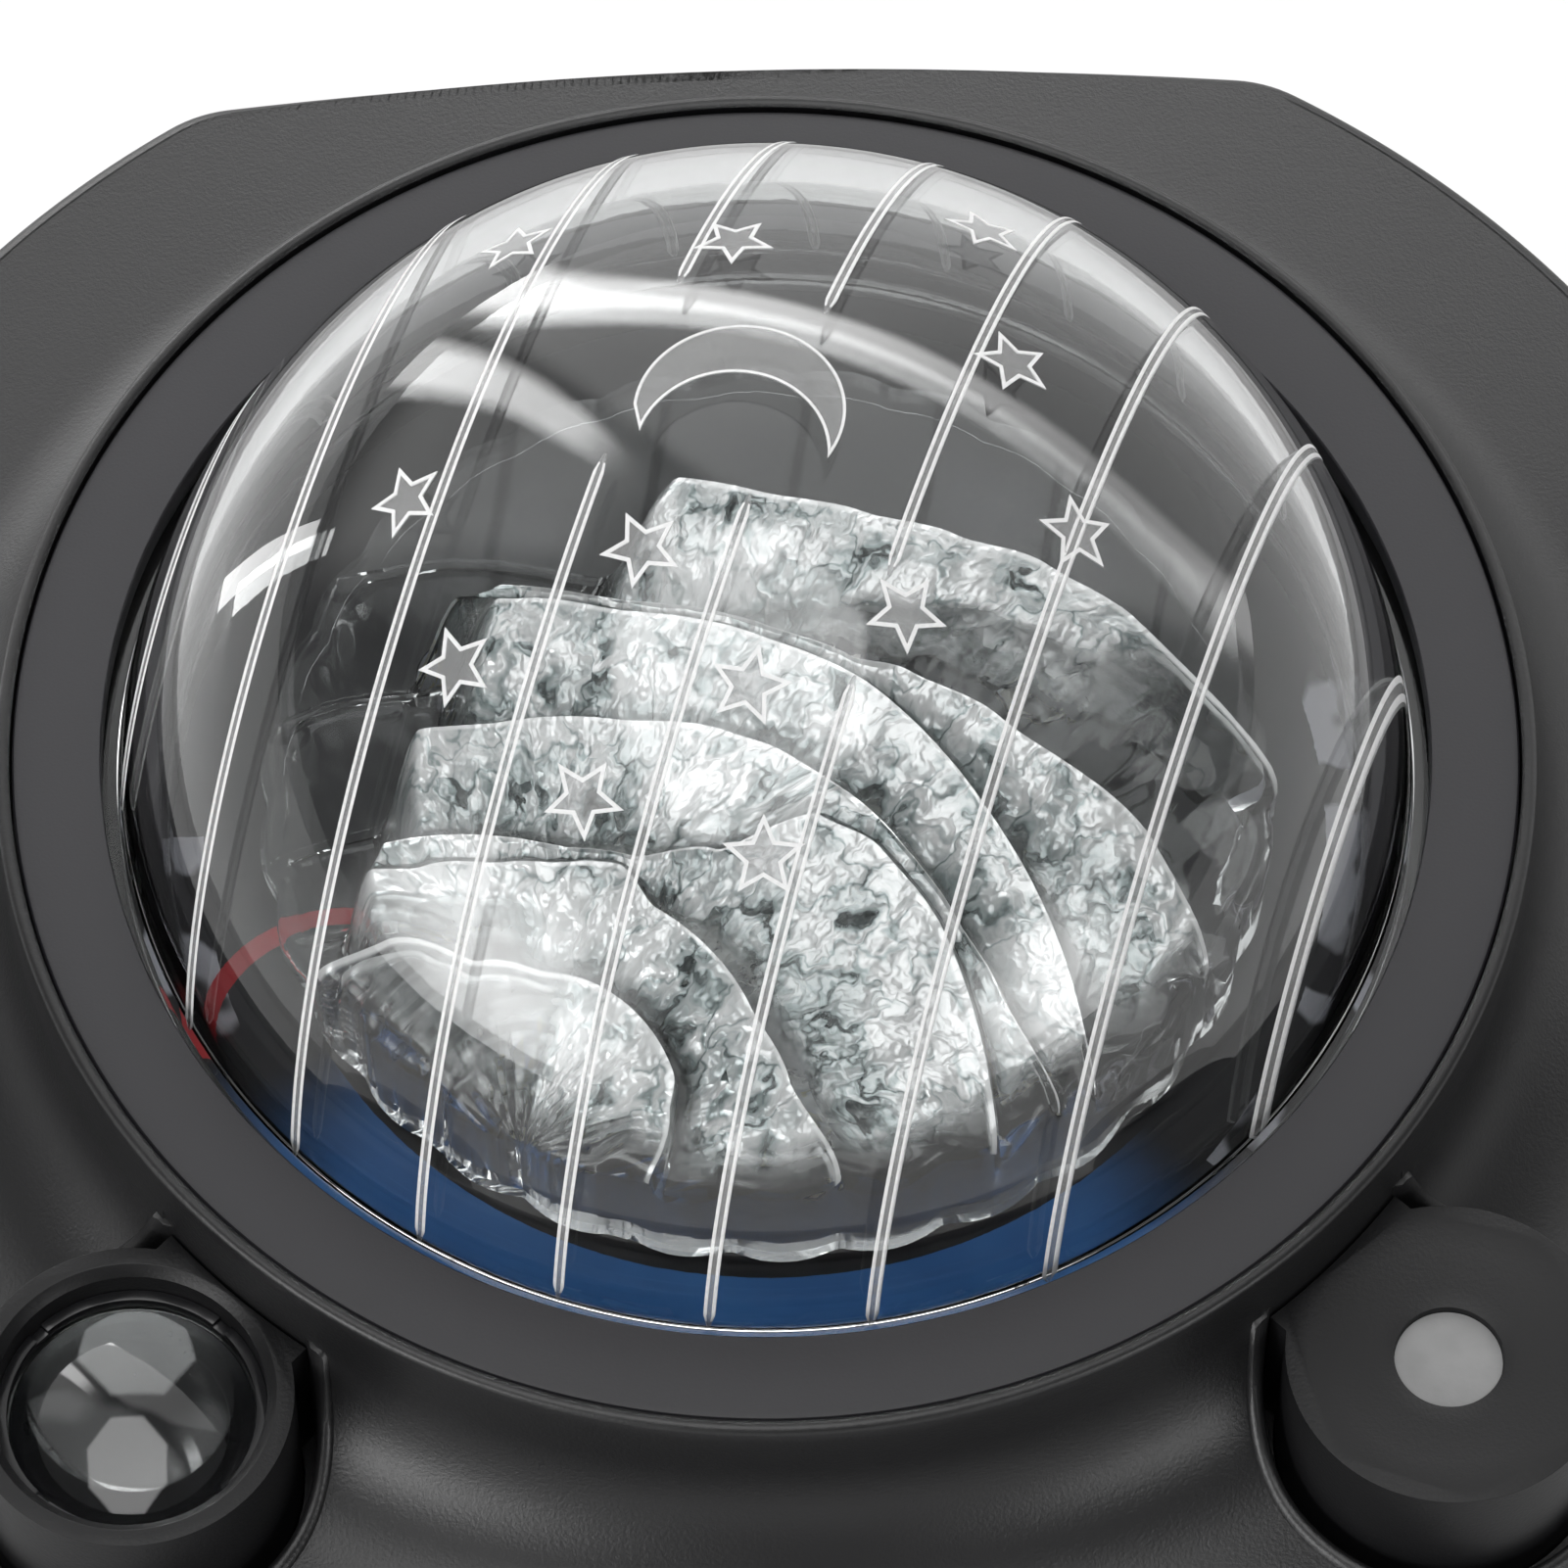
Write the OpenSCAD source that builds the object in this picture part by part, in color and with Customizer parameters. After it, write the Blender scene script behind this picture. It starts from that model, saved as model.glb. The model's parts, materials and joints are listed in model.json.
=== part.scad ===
// Star night light projector.
// A drum-shaped case carries a clear engraved dome over a turning wave rotor.
// A moon lens barrel and a star laser barrel stand at the two front corners.
// Millimetres. The case stands on its feet at z = 0 and its front faces -Y.

/* [Case] */
// Width of the apron, from the collar to the case's round sides
apron_w = 26; // [25:0.5:30]
// How far the flattened front and back faces lie inside the round sides
face_cut = 10.7; // [9:0.1:12]
// Bow radius of the flattened faces
face_bow_r = 700; // [400:10:1500]
// Radius of the corners between the round sides and the flattened faces
corner_r = 10; // [6:0.5:14]
// Thickness of the case walls
wall = 2.4; // [1.8:0.1:2.8]
// Height of the joint between the lower and the upper case
parting_z = 30; // [27:0.5:31]
// Radius of the lower case's bowl-shaped side
bowl_r = 40; // [36:1:48]
// Height of the case floor above the table
floor_z = 2; // [1.5:0.1:3]
// Height of the lip that locates the upper case on the lower case
joint_lip_h = 2; // [1:0.1:3]

/* [Collar and apron] */
// Height of the collar's top edge above the table
collar_top = 72; // [70:0.5:76]
// Outer radius of the collar
collar_r = 58; // [56:0.5:62]
// Depth from the collar's top to where its fillet begins
fillet_drop = 5.8; // [5:0.1:7]
// Radius of the fillet between the collar and the apron
fillet_r = 12.5; // [11:0.1:13.5]
// Downward slope of the apron, in degrees
apron_slope = 8.5; // [6:0.5:10]

/* [Dome and bezel] */
// Gap between the dome and the bezel ring
dome_gap = 1; // [0.4:0.1:2]
// Depth of the dome's centre below the collar's top
dome_drop = 8; // [7.5:0.1:9]
// Thickness of the dome
dome_wall = 3; // [2:0.1:3.5]
// Thickness of the dome's flange
flange_t = 2; // [1.5:0.1:2.4]
// Thickness of the collar's raised rim around the bezel ring
rim_t = 1.2; // [1:0.1:1.6]
// Width of the bezel ring
bezel_w = 6.8; // [6:0.1:8]
// Thickness of the bezel ring
bezel_t = 2; // [1.5:0.1:2.4]
// Depth of the bezel's face below the collar's top
bezel_drop = 0.5; // [0.3:0.1:1]

/* [Barrels] */
// Distance from the collar's wall to each barrel's axis
barrel_out = 11.2; // [10.8:0.1:11.4]
// Angle of each barrel's axis from the front, in degrees
barrel_angle = 44.4; // [43:0.1:46]
// Outer radius of the barrels
barrel_r = 12.1; // [11.6:0.1:12.1]
// Depth of the barrels' tops below the collar's top
barrel_drop = 8; // [7:0.1:9]
// Height of the barrels' lower ends above the table
barrel_base_z = 40; // [39:0.5:41]
// Half width of the web that fills the corner between barrel and collar
web_half = 6.9; // [6:0.1:7.2]
// Gap between each barrel and its pocket
pocket_gap = 1.4; // [1:0.1:1.7]
// Height of the pocket's floor above the table
pocket_z = 49; // [48:0.1:49.5]
// Height of the lip around each pocket
pocket_lip_h = 0.6; // [0.3:0.1:1]
// Thickness of the moon barrel's wall around its lens
barrel_wall = 2.1; // [2:0.1:2.5]
// Thickness of the moon lens at its edge
lens_edge = 1.5; // [1.2:0.1:2]
// Height of the moon lens's curved face
lens_rise = 3; // [2:0.1:3.2]
// Depth of the moon lens's seat below the barrel's top
lens_seat_drop = 5.5; // [5:0.1:6]
// Radius of the star window
window_r = 4; // [3.5:0.1:4.5]
// Width of the flat edge around the star barrel's dish
dish_edge = 1.7; // [1.3:0.1:3]
// Depth of the shallow dish
dish_depth = 0.8; // [0.4:0.1:1]
// Radius of the laser module
laser_r = 6; // [5:0.1:6.5]

/* [Wave rotor] */
// Gap between the wave rotor's edge and the dome's outer radius
rotor_gap = 10; // [9.5:0.5:13]
// Height of the rotor's top above its base
rotor_rise = 22; // [18:0.5:26]
// Height of the wave blades at the rotor's edge
rim_h = 10; // [6:0.5:12]
// Distance of the point that the wave blades surround from the rotor's axis
ripple_out = 28; // [26:0.5:30]
// Thickness of the rotor's wave blades
blade_t = 2.4; // [1.6:0.1:3]
// Radius of the smallest wave blade
first_blade_r = 8; // [7:0.5:9]
// Growth in radius from one wave blade to the next
blade_step = 9; // [8:0.5:9]
// Number of wave blades
blade_count = 5; // [3:1:5]
// Radius of the rotor's steel pin
pin_r = 1.5; // [1:0.1:2]

/* [Drive] */
// Module of the drive gears
gear_module = 1; // [0.9:0.05:1.05]
// Teeth on the rotor gear
gear_teeth = 30; // [30:2:30]
// Teeth on the motor pinion
pinion_teeth = 10; // [10:2:10]
// Radius of the motor
motor_r = 9.5; // [8:0.5:10]
// Height of the motor
motor_h = 9.6; // [8:0.1:12]

/* [Light] */
// Depth of the light tray's floor below the collar's top
tray_drop = 13; // [12.5:0.1:13]
// Distance of the lamps from the rotor's edge
lamp_inset = 13; // [11:0.5:14]
// Number of lamps
lamp_count = 7; // [5:1:7]
// Radius of each lamp's lens
lamp_lens_r = 4; // [3:0.1:4.2]
// Distance from the light tray's edge to the heat sink's edge
sink_inset = 7.6; // [6:0.1:11]
// Depth of the heat sink's fins
fin_h = 10; // [6:0.5:12]

/* [Buttons] */
// Radius of each push button
button_r = 4.5; // [3.5:0.1:5]
// Distance between neighbouring buttons
button_pitch = 14; // [13:0.1:14]
// Height of the buttons above the table
button_z = 40; // [39.5:0.1:40]
// Travel of each push button
button_travel = 0.8; // [0.5:0.1:1]

/* [Electrics] */
// Thickness of the circuit boards
board_t = 1.6; // [1:0.1:2]
// Width of the main circuit board
main_board_w = 60; // [50:1:62]
// Length of the main circuit board
main_board_l = 54; // [50:1:56]
// Width of the power socket
socket_w = 9; // [8.6:0.1:9.4]
// Height of the power socket
socket_h = 3.2; // [3:0.1:3.4]

/* [Feet] */
// Radius of the rubber feet
foot_r = 7; // [5:0.5:8]
// Distance of the feet's centres from the case's round sides, along X and along Y
foot_inset = 41; // [39:0.5:44]

/* [Hidden] */
$fn = 96;

// Clearances: overlap of joined forms, a screw in its hole, a sliding fit, a free gap,
// and how far two arcs cross that would otherwise only touch
eps = 0.01;
thread = 0.02;
fit = 0.05;
loose = 0.3;
cross = 0.02;
screw_r = 1.1;
motor_screw_r = 0.9;
screw_head_r = 2.1;
screw_head_h = 1.4;
boss_r = 3;
thin = 1.2;
ledge_t = 2;

// Radii derived from the collar
case_r = collar_r + apron_w;
face_y = case_r - face_cut;
bezel_out_r = collar_r - rim_t;
bezel_in_r = bezel_out_r - bezel_w;
dome_r = bezel_in_r - dome_gap;
flange_r = collar_r - wall - loose;
tray_r = dome_r - 0.4;
rotor_r = dome_r - rotor_gap;
lamp_circle_r = rotor_r - lamp_inset;
sink_r = tray_r - sink_inset;
barrel_reach = collar_r + barrel_out;
pocket_r = barrel_r + pocket_gap;
lens_r = barrel_r - barrel_wall;
dish_r = barrel_r - dish_edge;
foot_offset = case_r - foot_inset;

// Heights derived from the collar and the barrels
fillet_x = collar_r + fillet_r;
fillet_z = collar_top - fillet_drop;
bezel_z = collar_top - bezel_drop - bezel_t;
flange_z = bezel_z - flange_t;
ledge_z = flange_z - ledge_t;
ledge_r = dome_r + 1.8;
dome_z = collar_top - dome_drop;
barrel_top = collar_top - barrel_drop;
flange_top = pocket_z - ledge_t;
flange_low = flange_top - ledge_t;
barrel_flange_r = pocket_r + 1.5;
ear_reach = pocket_r + 4;
lens_z = barrel_top - lens_seat_drop;

// Heights of the light engine
tray_z = collar_top - tray_drop;
tray_t = 1.4;
frame_top = tray_z - tray_t;
frame_t = 1.8;
lamp_board_z = frame_top - frame_t - board_t;
lamp_h = 0.8;
sink_t = 4;
gear_z = tray_z + 0.6;
gear_t = 2.4;
rotor_z = gear_z + gear_t;
rotor_base_t = 1.4;
gear_reach = gear_module * (gear_teeth + pinion_teeth) / 2;
motor_ear = motor_r + 3.5;
frame_r = collar_r - 4.5;
frame_wall = 2;
frame_ear_r = frame_r + 3.5;
frame_low = frame_top - frame_t - 9.8;
slot_half = motor_ear + 4;

// Places of the boards, screws and buttons
main_board_y = face_y - 7.3 - main_board_l;
main_board_z = floor_z + wall + 3.6;
board_screw_x = main_board_w / 2 - 4;
board_screw_y = [main_board_y + 5, main_board_y + main_board_l - 8];
case_screw_at = [collar_r, 24];
case_boss_r = 4.5;
case_screw_r = 1.5;
case_head_r = 2.8;
case_head_z = parting_z - 6;
button_y = -face_y;
button_cap_t = wall + 0.7;
button_flange_t = 1;
switch_h = 3.5;
plunger_h = 0.8;
button_stem = 0.9;
button_board_y = button_y + button_cap_t + button_flange_t + button_stem
    + button_travel + loose + plunger_h + switch_h;
button_board_x = 33;
button_board_h = 9.2;
button_screw_x = button_board_x - 3;

// Radius at which the apron leaves the fillet, t below the surface
function apron_x(t) = fillet_x - (fillet_r + t) * sin(apron_slope);
// Height at which the apron leaves the fillet, t below the surface
function apron_z(t) = fillet_z - (fillet_r + t) * cos(apron_slope) + cross;
// Centre of the arc that rounds each plan corner
corner_y = ((face_bow_r - corner_r) ^ 2 - (face_bow_r - face_y) ^ 2 - (case_r - corner_r) ^ 2)
    / (2 * (face_bow_r - face_y));
corner_x = sqrt((case_r - corner_r) ^ 2 - corner_y ^ 2);
// Angle of one lamp on the lamp circle, leaving the motor's side free
function lamp_angle(i) = 30 - i * 240 / (lamp_count - 1);

// ---- Shared shapes ----

module ring(r_in, r_out, z0, z1) {
    difference() {
        translate([0, 0, z0]) cylinder(r = r_out, h = z1 - z0);
        translate([0, 0, z0 - 1]) cylinder(r = r_in, h = z1 - z0 + 2);
    }
}

module rod(r, z0, z1) {
    translate([0, 0, z0]) cylinder(r = r, h = z1 - z0);
}

// Screw whose head's underside is at z = 0 and whose shank points up
module screw(r, head_r, head_h, shank) {
    difference() {
        union() {
            rod(head_r, -head_h, 0);
            rod(r, -eps, shank);
        }
        for (turn = [0, 90])
            rotate(turn) translate([0, 0, -head_h]) cube([head_r * 1.1, head_r * 0.3, head_h], center = true);
    }
}

// Puts children at four mirrored places
module at_four(place) {
    for (x = [-1, 1], y = [-1, 1]) translate([x * place[0], y * place[1], 0]) children();
}

// Frame of a barrel: its axis is Z and +X points away from the case axis
module at_barrel(side) {
    rotate(-90 + side * barrel_angle) translate([barrel_reach, 0, 0]) children();
}

module at_barrel_ears() {
    for (side = [-1, 1]) at_barrel(side) for (y = [-1, 1]) translate([0, y * ear_reach, 0]) children();
}

module at_frame_ears() {
    for (turn = [0 : 90 : 270]) rotate(turn) translate([frame_ear_r, 0, 0]) children();
}

module at_lamps() {
    for (i = [0 : lamp_count - 1]) rotate(lamp_angle(i)) translate([lamp_circle_r, 0, 0]) children();
}

// Places children on the front face with +Z pointing into the case
module at_button(i) {
    translate([(i - 1.5) * button_pitch, button_y, button_z]) rotate([-90, 0, 0]) children();
}

// Plan of the case, moved in by the given inset
module plan_2d(inset) {
    bow_centre = face_y - face_bow_r;
    difference() {
        intersection() {
            circle(r = case_r - inset, $fn = 180);
            translate([0, bow_centre]) circle(r = face_bow_r - inset, $fn = 360);
            translate([0, -bow_centre]) circle(r = face_bow_r - inset, $fn = 360);
        }
        for (x = [-1, 1], y = [-1, 1]) plan_corner(x, y, bow_centre);
    }
    for (x = [-1, 1], y = [-1, 1])
        translate([x * corner_x, y * corner_y]) circle(r = corner_r - inset + cross);
}

// Wedge outside a corner arc, between its two tangent points
module plan_corner(x, y, bow_centre) {
    centre = [corner_x, corner_y];
    to_side = centre / norm(centre) * 2 * corner_r;
    to_face = (centre - [0, bow_centre]) / norm(centre - [0, bow_centre]) * 2 * corner_r;
    corners = [centre, centre + to_side, centre + to_side + to_face, centre + to_face];
    polygon([for (c = corners) [x * c[0], y * c[1]]]);
}

// Half section of the collar, fillet and apron, t below their surface
module flare_2d(t, bottom) {
    reach = case_r + 2;
    rim_z = apron_z(t) - (reach - apron_x(t)) * tan(apron_slope);
    translate([0, bottom]) square([collar_r - t, collar_top - bottom]);
    difference() {
        polygon([
            [0, bottom], [reach, bottom], [reach, rim_z], [apron_x(t), apron_z(t)],
            [apron_x(t), fillet_z], [0, fillet_z]
        ]);
        translate([fillet_x, fillet_z]) circle(r = fillet_r + t);
    }
}

// Solid under the upper case's surface
module under_shell(t, bottom) {
    intersection() {
        rotate_extrude($fn = 180) flare_2d(t, bottom);
        translate([0, 0, bottom]) linear_extrude(collar_top) plan_2d(t);
    }
}

// Half section of the lower case's bowl, t below its surface; its arc meets the side at a soft edge
module bowl_2d(t, bottom, top) {
    arc_x = case_r - bowl_r + 0.5;
    difference() {
        translate([0, bottom]) square([case_r + 1, top - bottom]);
        difference() {
            translate([arc_x - 1, bottom - 1]) square([bowl_r + 3, top - bottom + 2]);
            translate([arc_x, parting_z]) circle(r = bowl_r - t, $fn = 120);
        }
    }
}

// Solid inside the lower case's surface
module in_bowl(t, bottom, top) {
    intersection() {
        rotate_extrude($fn = 180) bowl_2d(t, bottom, top);
        translate([0, 0, bottom - 1]) linear_extrude(top - bottom + 2) plan_2d(t);
    }
}

// ---- Case ----

module lower_case() {
    color("#26262a") difference() {
        union() {
            difference() {
                in_bowl(0, floor_z, parting_z);
                in_bowl(wall, floor_z + wall, parting_z + 1);
            }
            translate([0, 0, parting_z - 3]) linear_extrude(joint_lip_h + 3) difference() {
                plan_2d(wall + fit * 2);
                plan_2d(wall + thin);
            }
            difference() {
                translate([0, 0, parting_z - 3 - thin]) linear_extrude(thin) plan_2d(wall - 1);
                translate([0, 0, parting_z - 4 - thin]) linear_extrude(thin + 2) plan_2d(wall + thin);
            }
            at_four(case_screw_at) rod(case_boss_r, floor_z + 1, parting_z);
            for (x = [-1, 1], y = board_screw_y)
                translate([x * board_screw_x, y, 0]) rod(boss_r, floor_z + 1, main_board_z);
        }
        at_four(case_screw_at) {
            rod(case_head_r + 0.3, floor_z - 1, case_head_z);
            rod(case_screw_r + fit, floor_z, parting_z + 1);
        }
        at_four([foot_offset, foot_offset]) rod(foot_r + 0.1, floor_z - 1, floor_z + 1);
        for (x = [-1, 1], y = board_screw_y)
            translate([x * board_screw_x, y, 0]) rod(screw_r + thread, floor_z + wall, main_board_z + 1);
        socket_hole();
    }
}

// Opening for the plug in the back wall
module socket_hole() {
    z = main_board_z + board_t + socket_h / 2;
    translate([0, face_y, z]) cube([socket_w + 0.6, 12, socket_h + 0.6], center = true);
}

module upper_case() {
    color("#2b2b2e") difference() {
        union() {
            difference() {
                under_shell(0, parting_z);
                under_shell(wall, parting_z - 1);
                rod(collar_r - wall, ledge_z, collar_top + 1);
            }
            ring(ledge_r, collar_r - wall / 2, ledge_z, flange_z);
            barrel_wells();
            case_bosses();
            for (x = [-1, 1]) translate([x * button_screw_x, 0, button_z]) rotate([-90, 0, 0])
                rod(boss_r - 0.5, -face_y + wall / 2, button_board_y);
        }
        rod(bezel_out_r + 0.1, bezel_z, collar_top + 1);
        for (side = [-1, 1]) barrel_pocket(side);
        at_barrel_ears() rod(screw_r + thread, flange_top - 1, flange_top + 3.4);
        at_four(case_screw_at) rod(case_screw_r + thread, parting_z - 1, parting_z + 10);
        at_frame_ears() rod(screw_r + thread, frame_low + 1, frame_low + 7);
        for (x = [-1, 1]) translate([x * button_screw_x, 0, button_z]) rotate([-90, 0, 0])
            rod(screw_r + thread, button_board_y - 6, button_board_y + 1);
        for (i = [0 : 3]) at_button(i) rod(button_r + loose, -2, wall + 2);
    }
}

// Walls of the pockets, with their raised lips
module barrel_wells() {
    intersection() {
        under_shell(-pocket_lip_h, parting_z);
        for (side = [-1, 1]) at_barrel(side)
            rod(pocket_r + thin, pocket_z - ledge_t, barrel_top + 0.5);
    }
}

module barrel_pocket(side) {
    difference() {
        at_barrel(side) {
            rod(pocket_r, pocket_z, collar_top);
            rod(barrel_r + fit * 2, pocket_z - ledge_t - 1, pocket_z + 1);
        }
        rod(collar_r, pocket_z - ledge_t - 2, collar_top + 1);
    }
}

// Bosses that hang from the apron, for the case, the inner frame and the barrels
module case_bosses() {
    intersection() {
        under_shell(wall / 2, parting_z - 1);
        union() {
            at_four(case_screw_at) rod(case_boss_r, parting_z, fillet_z);
            at_frame_ears() rod(boss_r, frame_low + 2, fillet_z);
            at_barrel_ears() rod(boss_r, flange_top, fillet_z);
        }
    }
}

module bezel_ring() {
    color("#3a3a3d") ring(bezel_in_r, bezel_out_r, bezel_z, collar_top - bezel_drop);
}

module rubber_feet() {
    color("#151515") at_four([foot_offset, foot_offset]) union() {
        rod(foot_r - 0.6, 0, 0.8);
        rod(foot_r, 0.8, floor_z + 1);
    }
}

module case_screws() {
    color("#b8bcc0") at_four(case_screw_at) translate([0, 0, case_head_z])
        screw(case_screw_r, case_head_r, 2, parting_z + 8 - case_head_z);
}

module dome_cover() {
    color([0.85, 0.9, 0.95, 0.35]) union() {
        rotate_extrude($fn = 180) intersection() {
            translate([0, dome_z]) difference() {
                circle(r = dome_r);
                circle(r = dome_r - dome_wall);
            }
            translate([0, dome_z]) square([dome_r + 1, dome_r + 1]);
        }
        ring(dome_r - 0.5, flange_r, flange_z, bezel_z);
    }
}

// ---- Moon and star barrels ----

// Outer body that both barrels share
module barrel_body(side) {
    difference() {
        intersection() {
            at_barrel(side) {
                rod(barrel_r, barrel_base_z, barrel_top);
                rod(barrel_flange_r, flange_low, flange_top);
                translate([-boss_r - 0.5, -ear_reach, flange_low])
                    cube([boss_r * 2 + 1, 2 * ear_reach, flange_top - flange_low]);
                for (y = [-1, 1]) translate([0, y * ear_reach, 0])
                    rod(boss_r + 0.5, flange_low, flange_top);
                translate([-barrel_reach + collar_r - 2, -web_half, pocket_z + 0.2])
                    cube([6, 2 * web_half, barrel_top - pocket_z - 0.2]);
            }
            translate([0, 0, barrel_base_z - 1]) linear_extrude(40) plan_2d(wall + fit * 2);
        }
        rod(collar_r + fit * 2, flange_top, collar_top);
        at_barrel_ears() rod(screw_r + fit, flange_low - 1, flange_top + 1);
    }
}

sleeve_r = lens_r - 1.3;
slide_z = flange_low + 2;

module moon_barrel() {
    color("#2b2b2e") difference() {
        barrel_body(-1);
        at_barrel(-1) {
            rod(sleeve_r + fit, barrel_base_z - 1, lens_z + 1);
            rod(lens_r + fit, lens_z, barrel_top + 1);
            translate([0, 0, barrel_top - 1.2]) cylinder(r1 = lens_r - 0.4, r2 = lens_r + 1, h = 1.4);
        }
    }
}

module moon_lens() {
    cap_r = lens_r - 0.9;
    ball_r = (cap_r ^ 2 + lens_rise ^ 2) / (2 * lens_rise);
    color([0.8, 0.88, 0.92, 0.4]) at_barrel(-1) union() {
        rod(lens_r, lens_z, lens_z + lens_edge);
        intersection() {
            translate([0, 0, lens_z + lens_edge + lens_rise - ball_r]) sphere(r = ball_r);
            rod(cap_r + fit, lens_z + lens_edge - eps, barrel_top);
        }
    }
}

module lens_ring() {
    low = lens_z + lens_edge;
    color("#1c1c1e") at_barrel(-1) difference() {
        ring(lens_r - 0.8, lens_r, low, low + thin);
        for (turn = [0, 90]) rotate(turn) translate([0, 0, low + thin]) cube([3 * lens_r, 1.2, 1], center = true);
    }
}

module moon_slide() {
    color([0.75, 0.75, 0.6, 0.5]) at_barrel(-1) rod(sleeve_r - 0.1, slide_z, slide_z + thin);
}

module slide_sleeve() {
    color("#1c1c1e") at_barrel(-1) ring(sleeve_r - thin, sleeve_r, barrel_base_z, slide_z);
}

module moon_lamp() {
    color("#f3ecc0") at_barrel(-1) union() {
        translate([-1.75, -1.75, barrel_base_z]) cube([3.5, 3.5, lamp_h]);
        intersection() {
            translate([0, 0, barrel_base_z + lamp_h]) sphere(r = 1.6);
            rod(2, barrel_base_z + lamp_h - eps, barrel_base_z + 3);
        }
    }
}

module lamp_disc(side) {
    at_barrel(side) difference() {
        rod(barrel_r - 0.1, barrel_base_z - board_t, barrel_base_z);
        for (y = [-1, 1]) translate([0, y * (sleeve_r + 1.9), 0])
            rod(0.5, barrel_base_z - board_t - 1, barrel_base_z + 1);
    }
}

module moon_lamp_board() {
    color("#2f6b3c") lamp_disc(-1);
}

dish_ball_r = (dish_r ^ 2 + dish_depth ^ 2) / (2 * dish_depth);
window_top = barrel_top - dish_depth - 0.6;
window_t = 1.3;
plate_z = window_top - window_t - 1.2;
holder_r = barrel_r - 2.2;

module star_barrel() {
    color("#2b2b2e") difference() {
        barrel_body(1);
        at_barrel(1) {
            translate([0, 0, barrel_top - dish_depth + dish_ball_r]) sphere(r = dish_ball_r, $fn = 360);
            rod(window_r + fit, window_top - window_t, barrel_top + 1);
            rod(window_r - 0.8, plate_z - 1, barrel_top);
            rod(holder_r + fit, barrel_base_z - 1, plate_z);
        }
    }
}

module star_window() {
    color([0.8, 0.8, 0.8, 0.6]) at_barrel(1) rod(window_r, window_top - window_t, window_top);
}

module laser_grating() {
    color([0.7, 0.85, 0.9, 0.5]) at_barrel(1) rod(laser_r, plate_z - 2.4, plate_z - 1.4);
}

module laser_holder() {
    color("#2e2e30") at_barrel(1) difference() {
        rod(holder_r, barrel_base_z, plate_z);
        rod(laser_r + thread, barrel_base_z - 1, plate_z - 1.4);
        rod(window_r - 0.8, plate_z - 2, plate_z + 1);
    }
}

module laser_module() {
    color("#b58b3c") at_barrel(1) difference() {
        rod(laser_r, barrel_base_z, plate_z - 2.4);
        rod(window_r - 0.8, plate_z - 4.4, plate_z);
    }
}

module laser_board() {
    color("#2f6b3c") lamp_disc(1);
}

module barrel_screws() {
    color("#b8bcc0") at_barrel_ears() translate([0, 0, flange_low])
        screw(screw_r, screw_head_r, screw_head_h, 5);
}

// ---- Wave rotor and its drive ----

// Outline of a gear with straight-flanked teeth
module gear_2d(teeth, phase) {
    pitch = 360 / teeth;
    root = gear_module * (teeth / 2 - 1.15);
    tip = gear_module * (teeth / 2 + 0.9);
    rotate(phase) polygon([
        for (i = [0 : teeth - 1], c = [[-0.3, root], [-0.11, tip], [0.11, tip], [0.3, root]])
            [c[1] * cos((i + c[0]) * pitch), c[1] * sin((i + c[0]) * pitch)]
    ]);
}

hub_r = 5;
hub_h = 7;

module wave_rotor() {
    crown = rotor_rise - rotor_base_t - rim_h;
    ball_r = (rotor_r ^ 2 + crown ^ 2) / (2 * crown);
    blade_base = rotor_z + rotor_base_t;
    color([0.85, 0.9, 0.95, 0.5]) difference() {
        union() {
            rod(rotor_r, rotor_z, blade_base);
            rod(hub_r, blade_base - eps, blade_base + hub_h);
            intersection() {
                wave_blades(rotor_z + eps);
                translate([0, 0, rotor_z + rotor_rise - ball_r]) sphere(r = ball_r, $fn = 180);
                rod(rotor_r - 1, rotor_z, rotor_z + rotor_rise + 1);
            }
        }
        rod(pin_r + fit, rotor_z - 1, blade_base + hub_h - 1.2);
    }
}

// Walls like ripples around a point near the rotor's front edge
module wave_blades(z) {
    for (i = [0 : blade_count - 1]) {
        r = first_blade_r + i * blade_step;
        translate([0, -ripple_out, 0]) ring(r - blade_t, r, z, z + rotor_rise);
    }
}

module rotor_gear() {
    color("#e8e6df") difference() {
        translate([0, 0, gear_z]) linear_extrude(gear_t) gear_2d(gear_teeth, 0);
        rod(pin_r + fit, gear_z - 1, gear_z + gear_t + 1);
    }
}

module rotor_pin() {
    color("#c8ccd0") rod(pin_r, frame_top - 3, rotor_z + rotor_base_t + hub_h - 1.8);
}

module motor_pinion() {
    color("#e8e6df") translate([0, gear_reach, 0]) union() {
        translate([0, 0, gear_z]) linear_extrude(gear_t - 0.4) gear_2d(pinion_teeth, 180 / pinion_teeth);
        rod(1, frame_top - 2.5, gear_z + 0.5);
    }
}

module drive_motor() {
    color("#9a9ea3") translate([0, gear_reach, 0]) difference() {
        union() {
            rod(motor_r, frame_top - motor_h, frame_top);
            translate([-motor_ear, -2.5, frame_top - thin]) cube([2 * motor_ear, 5, thin]);
            for (x = [-1, 1]) translate([x * motor_ear, 0, 0]) rod(2.5, frame_top - thin, frame_top);
        }
        rod(1 + fit, frame_top - 3, frame_top + 1);
        for (x = [-1, 1]) translate([x * motor_ear, 0, 0]) rod(motor_screw_r + fit, frame_top - 3, frame_top + 1);
    }
}

module motor_screws() {
    color("#b8bcc0") for (x = [-1, 1]) translate([x * motor_ear, gear_reach, frame_top - thin])
        screw(motor_screw_r, 1.7, 1, thin + 2);
}

// ---- Light engine ----

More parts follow.
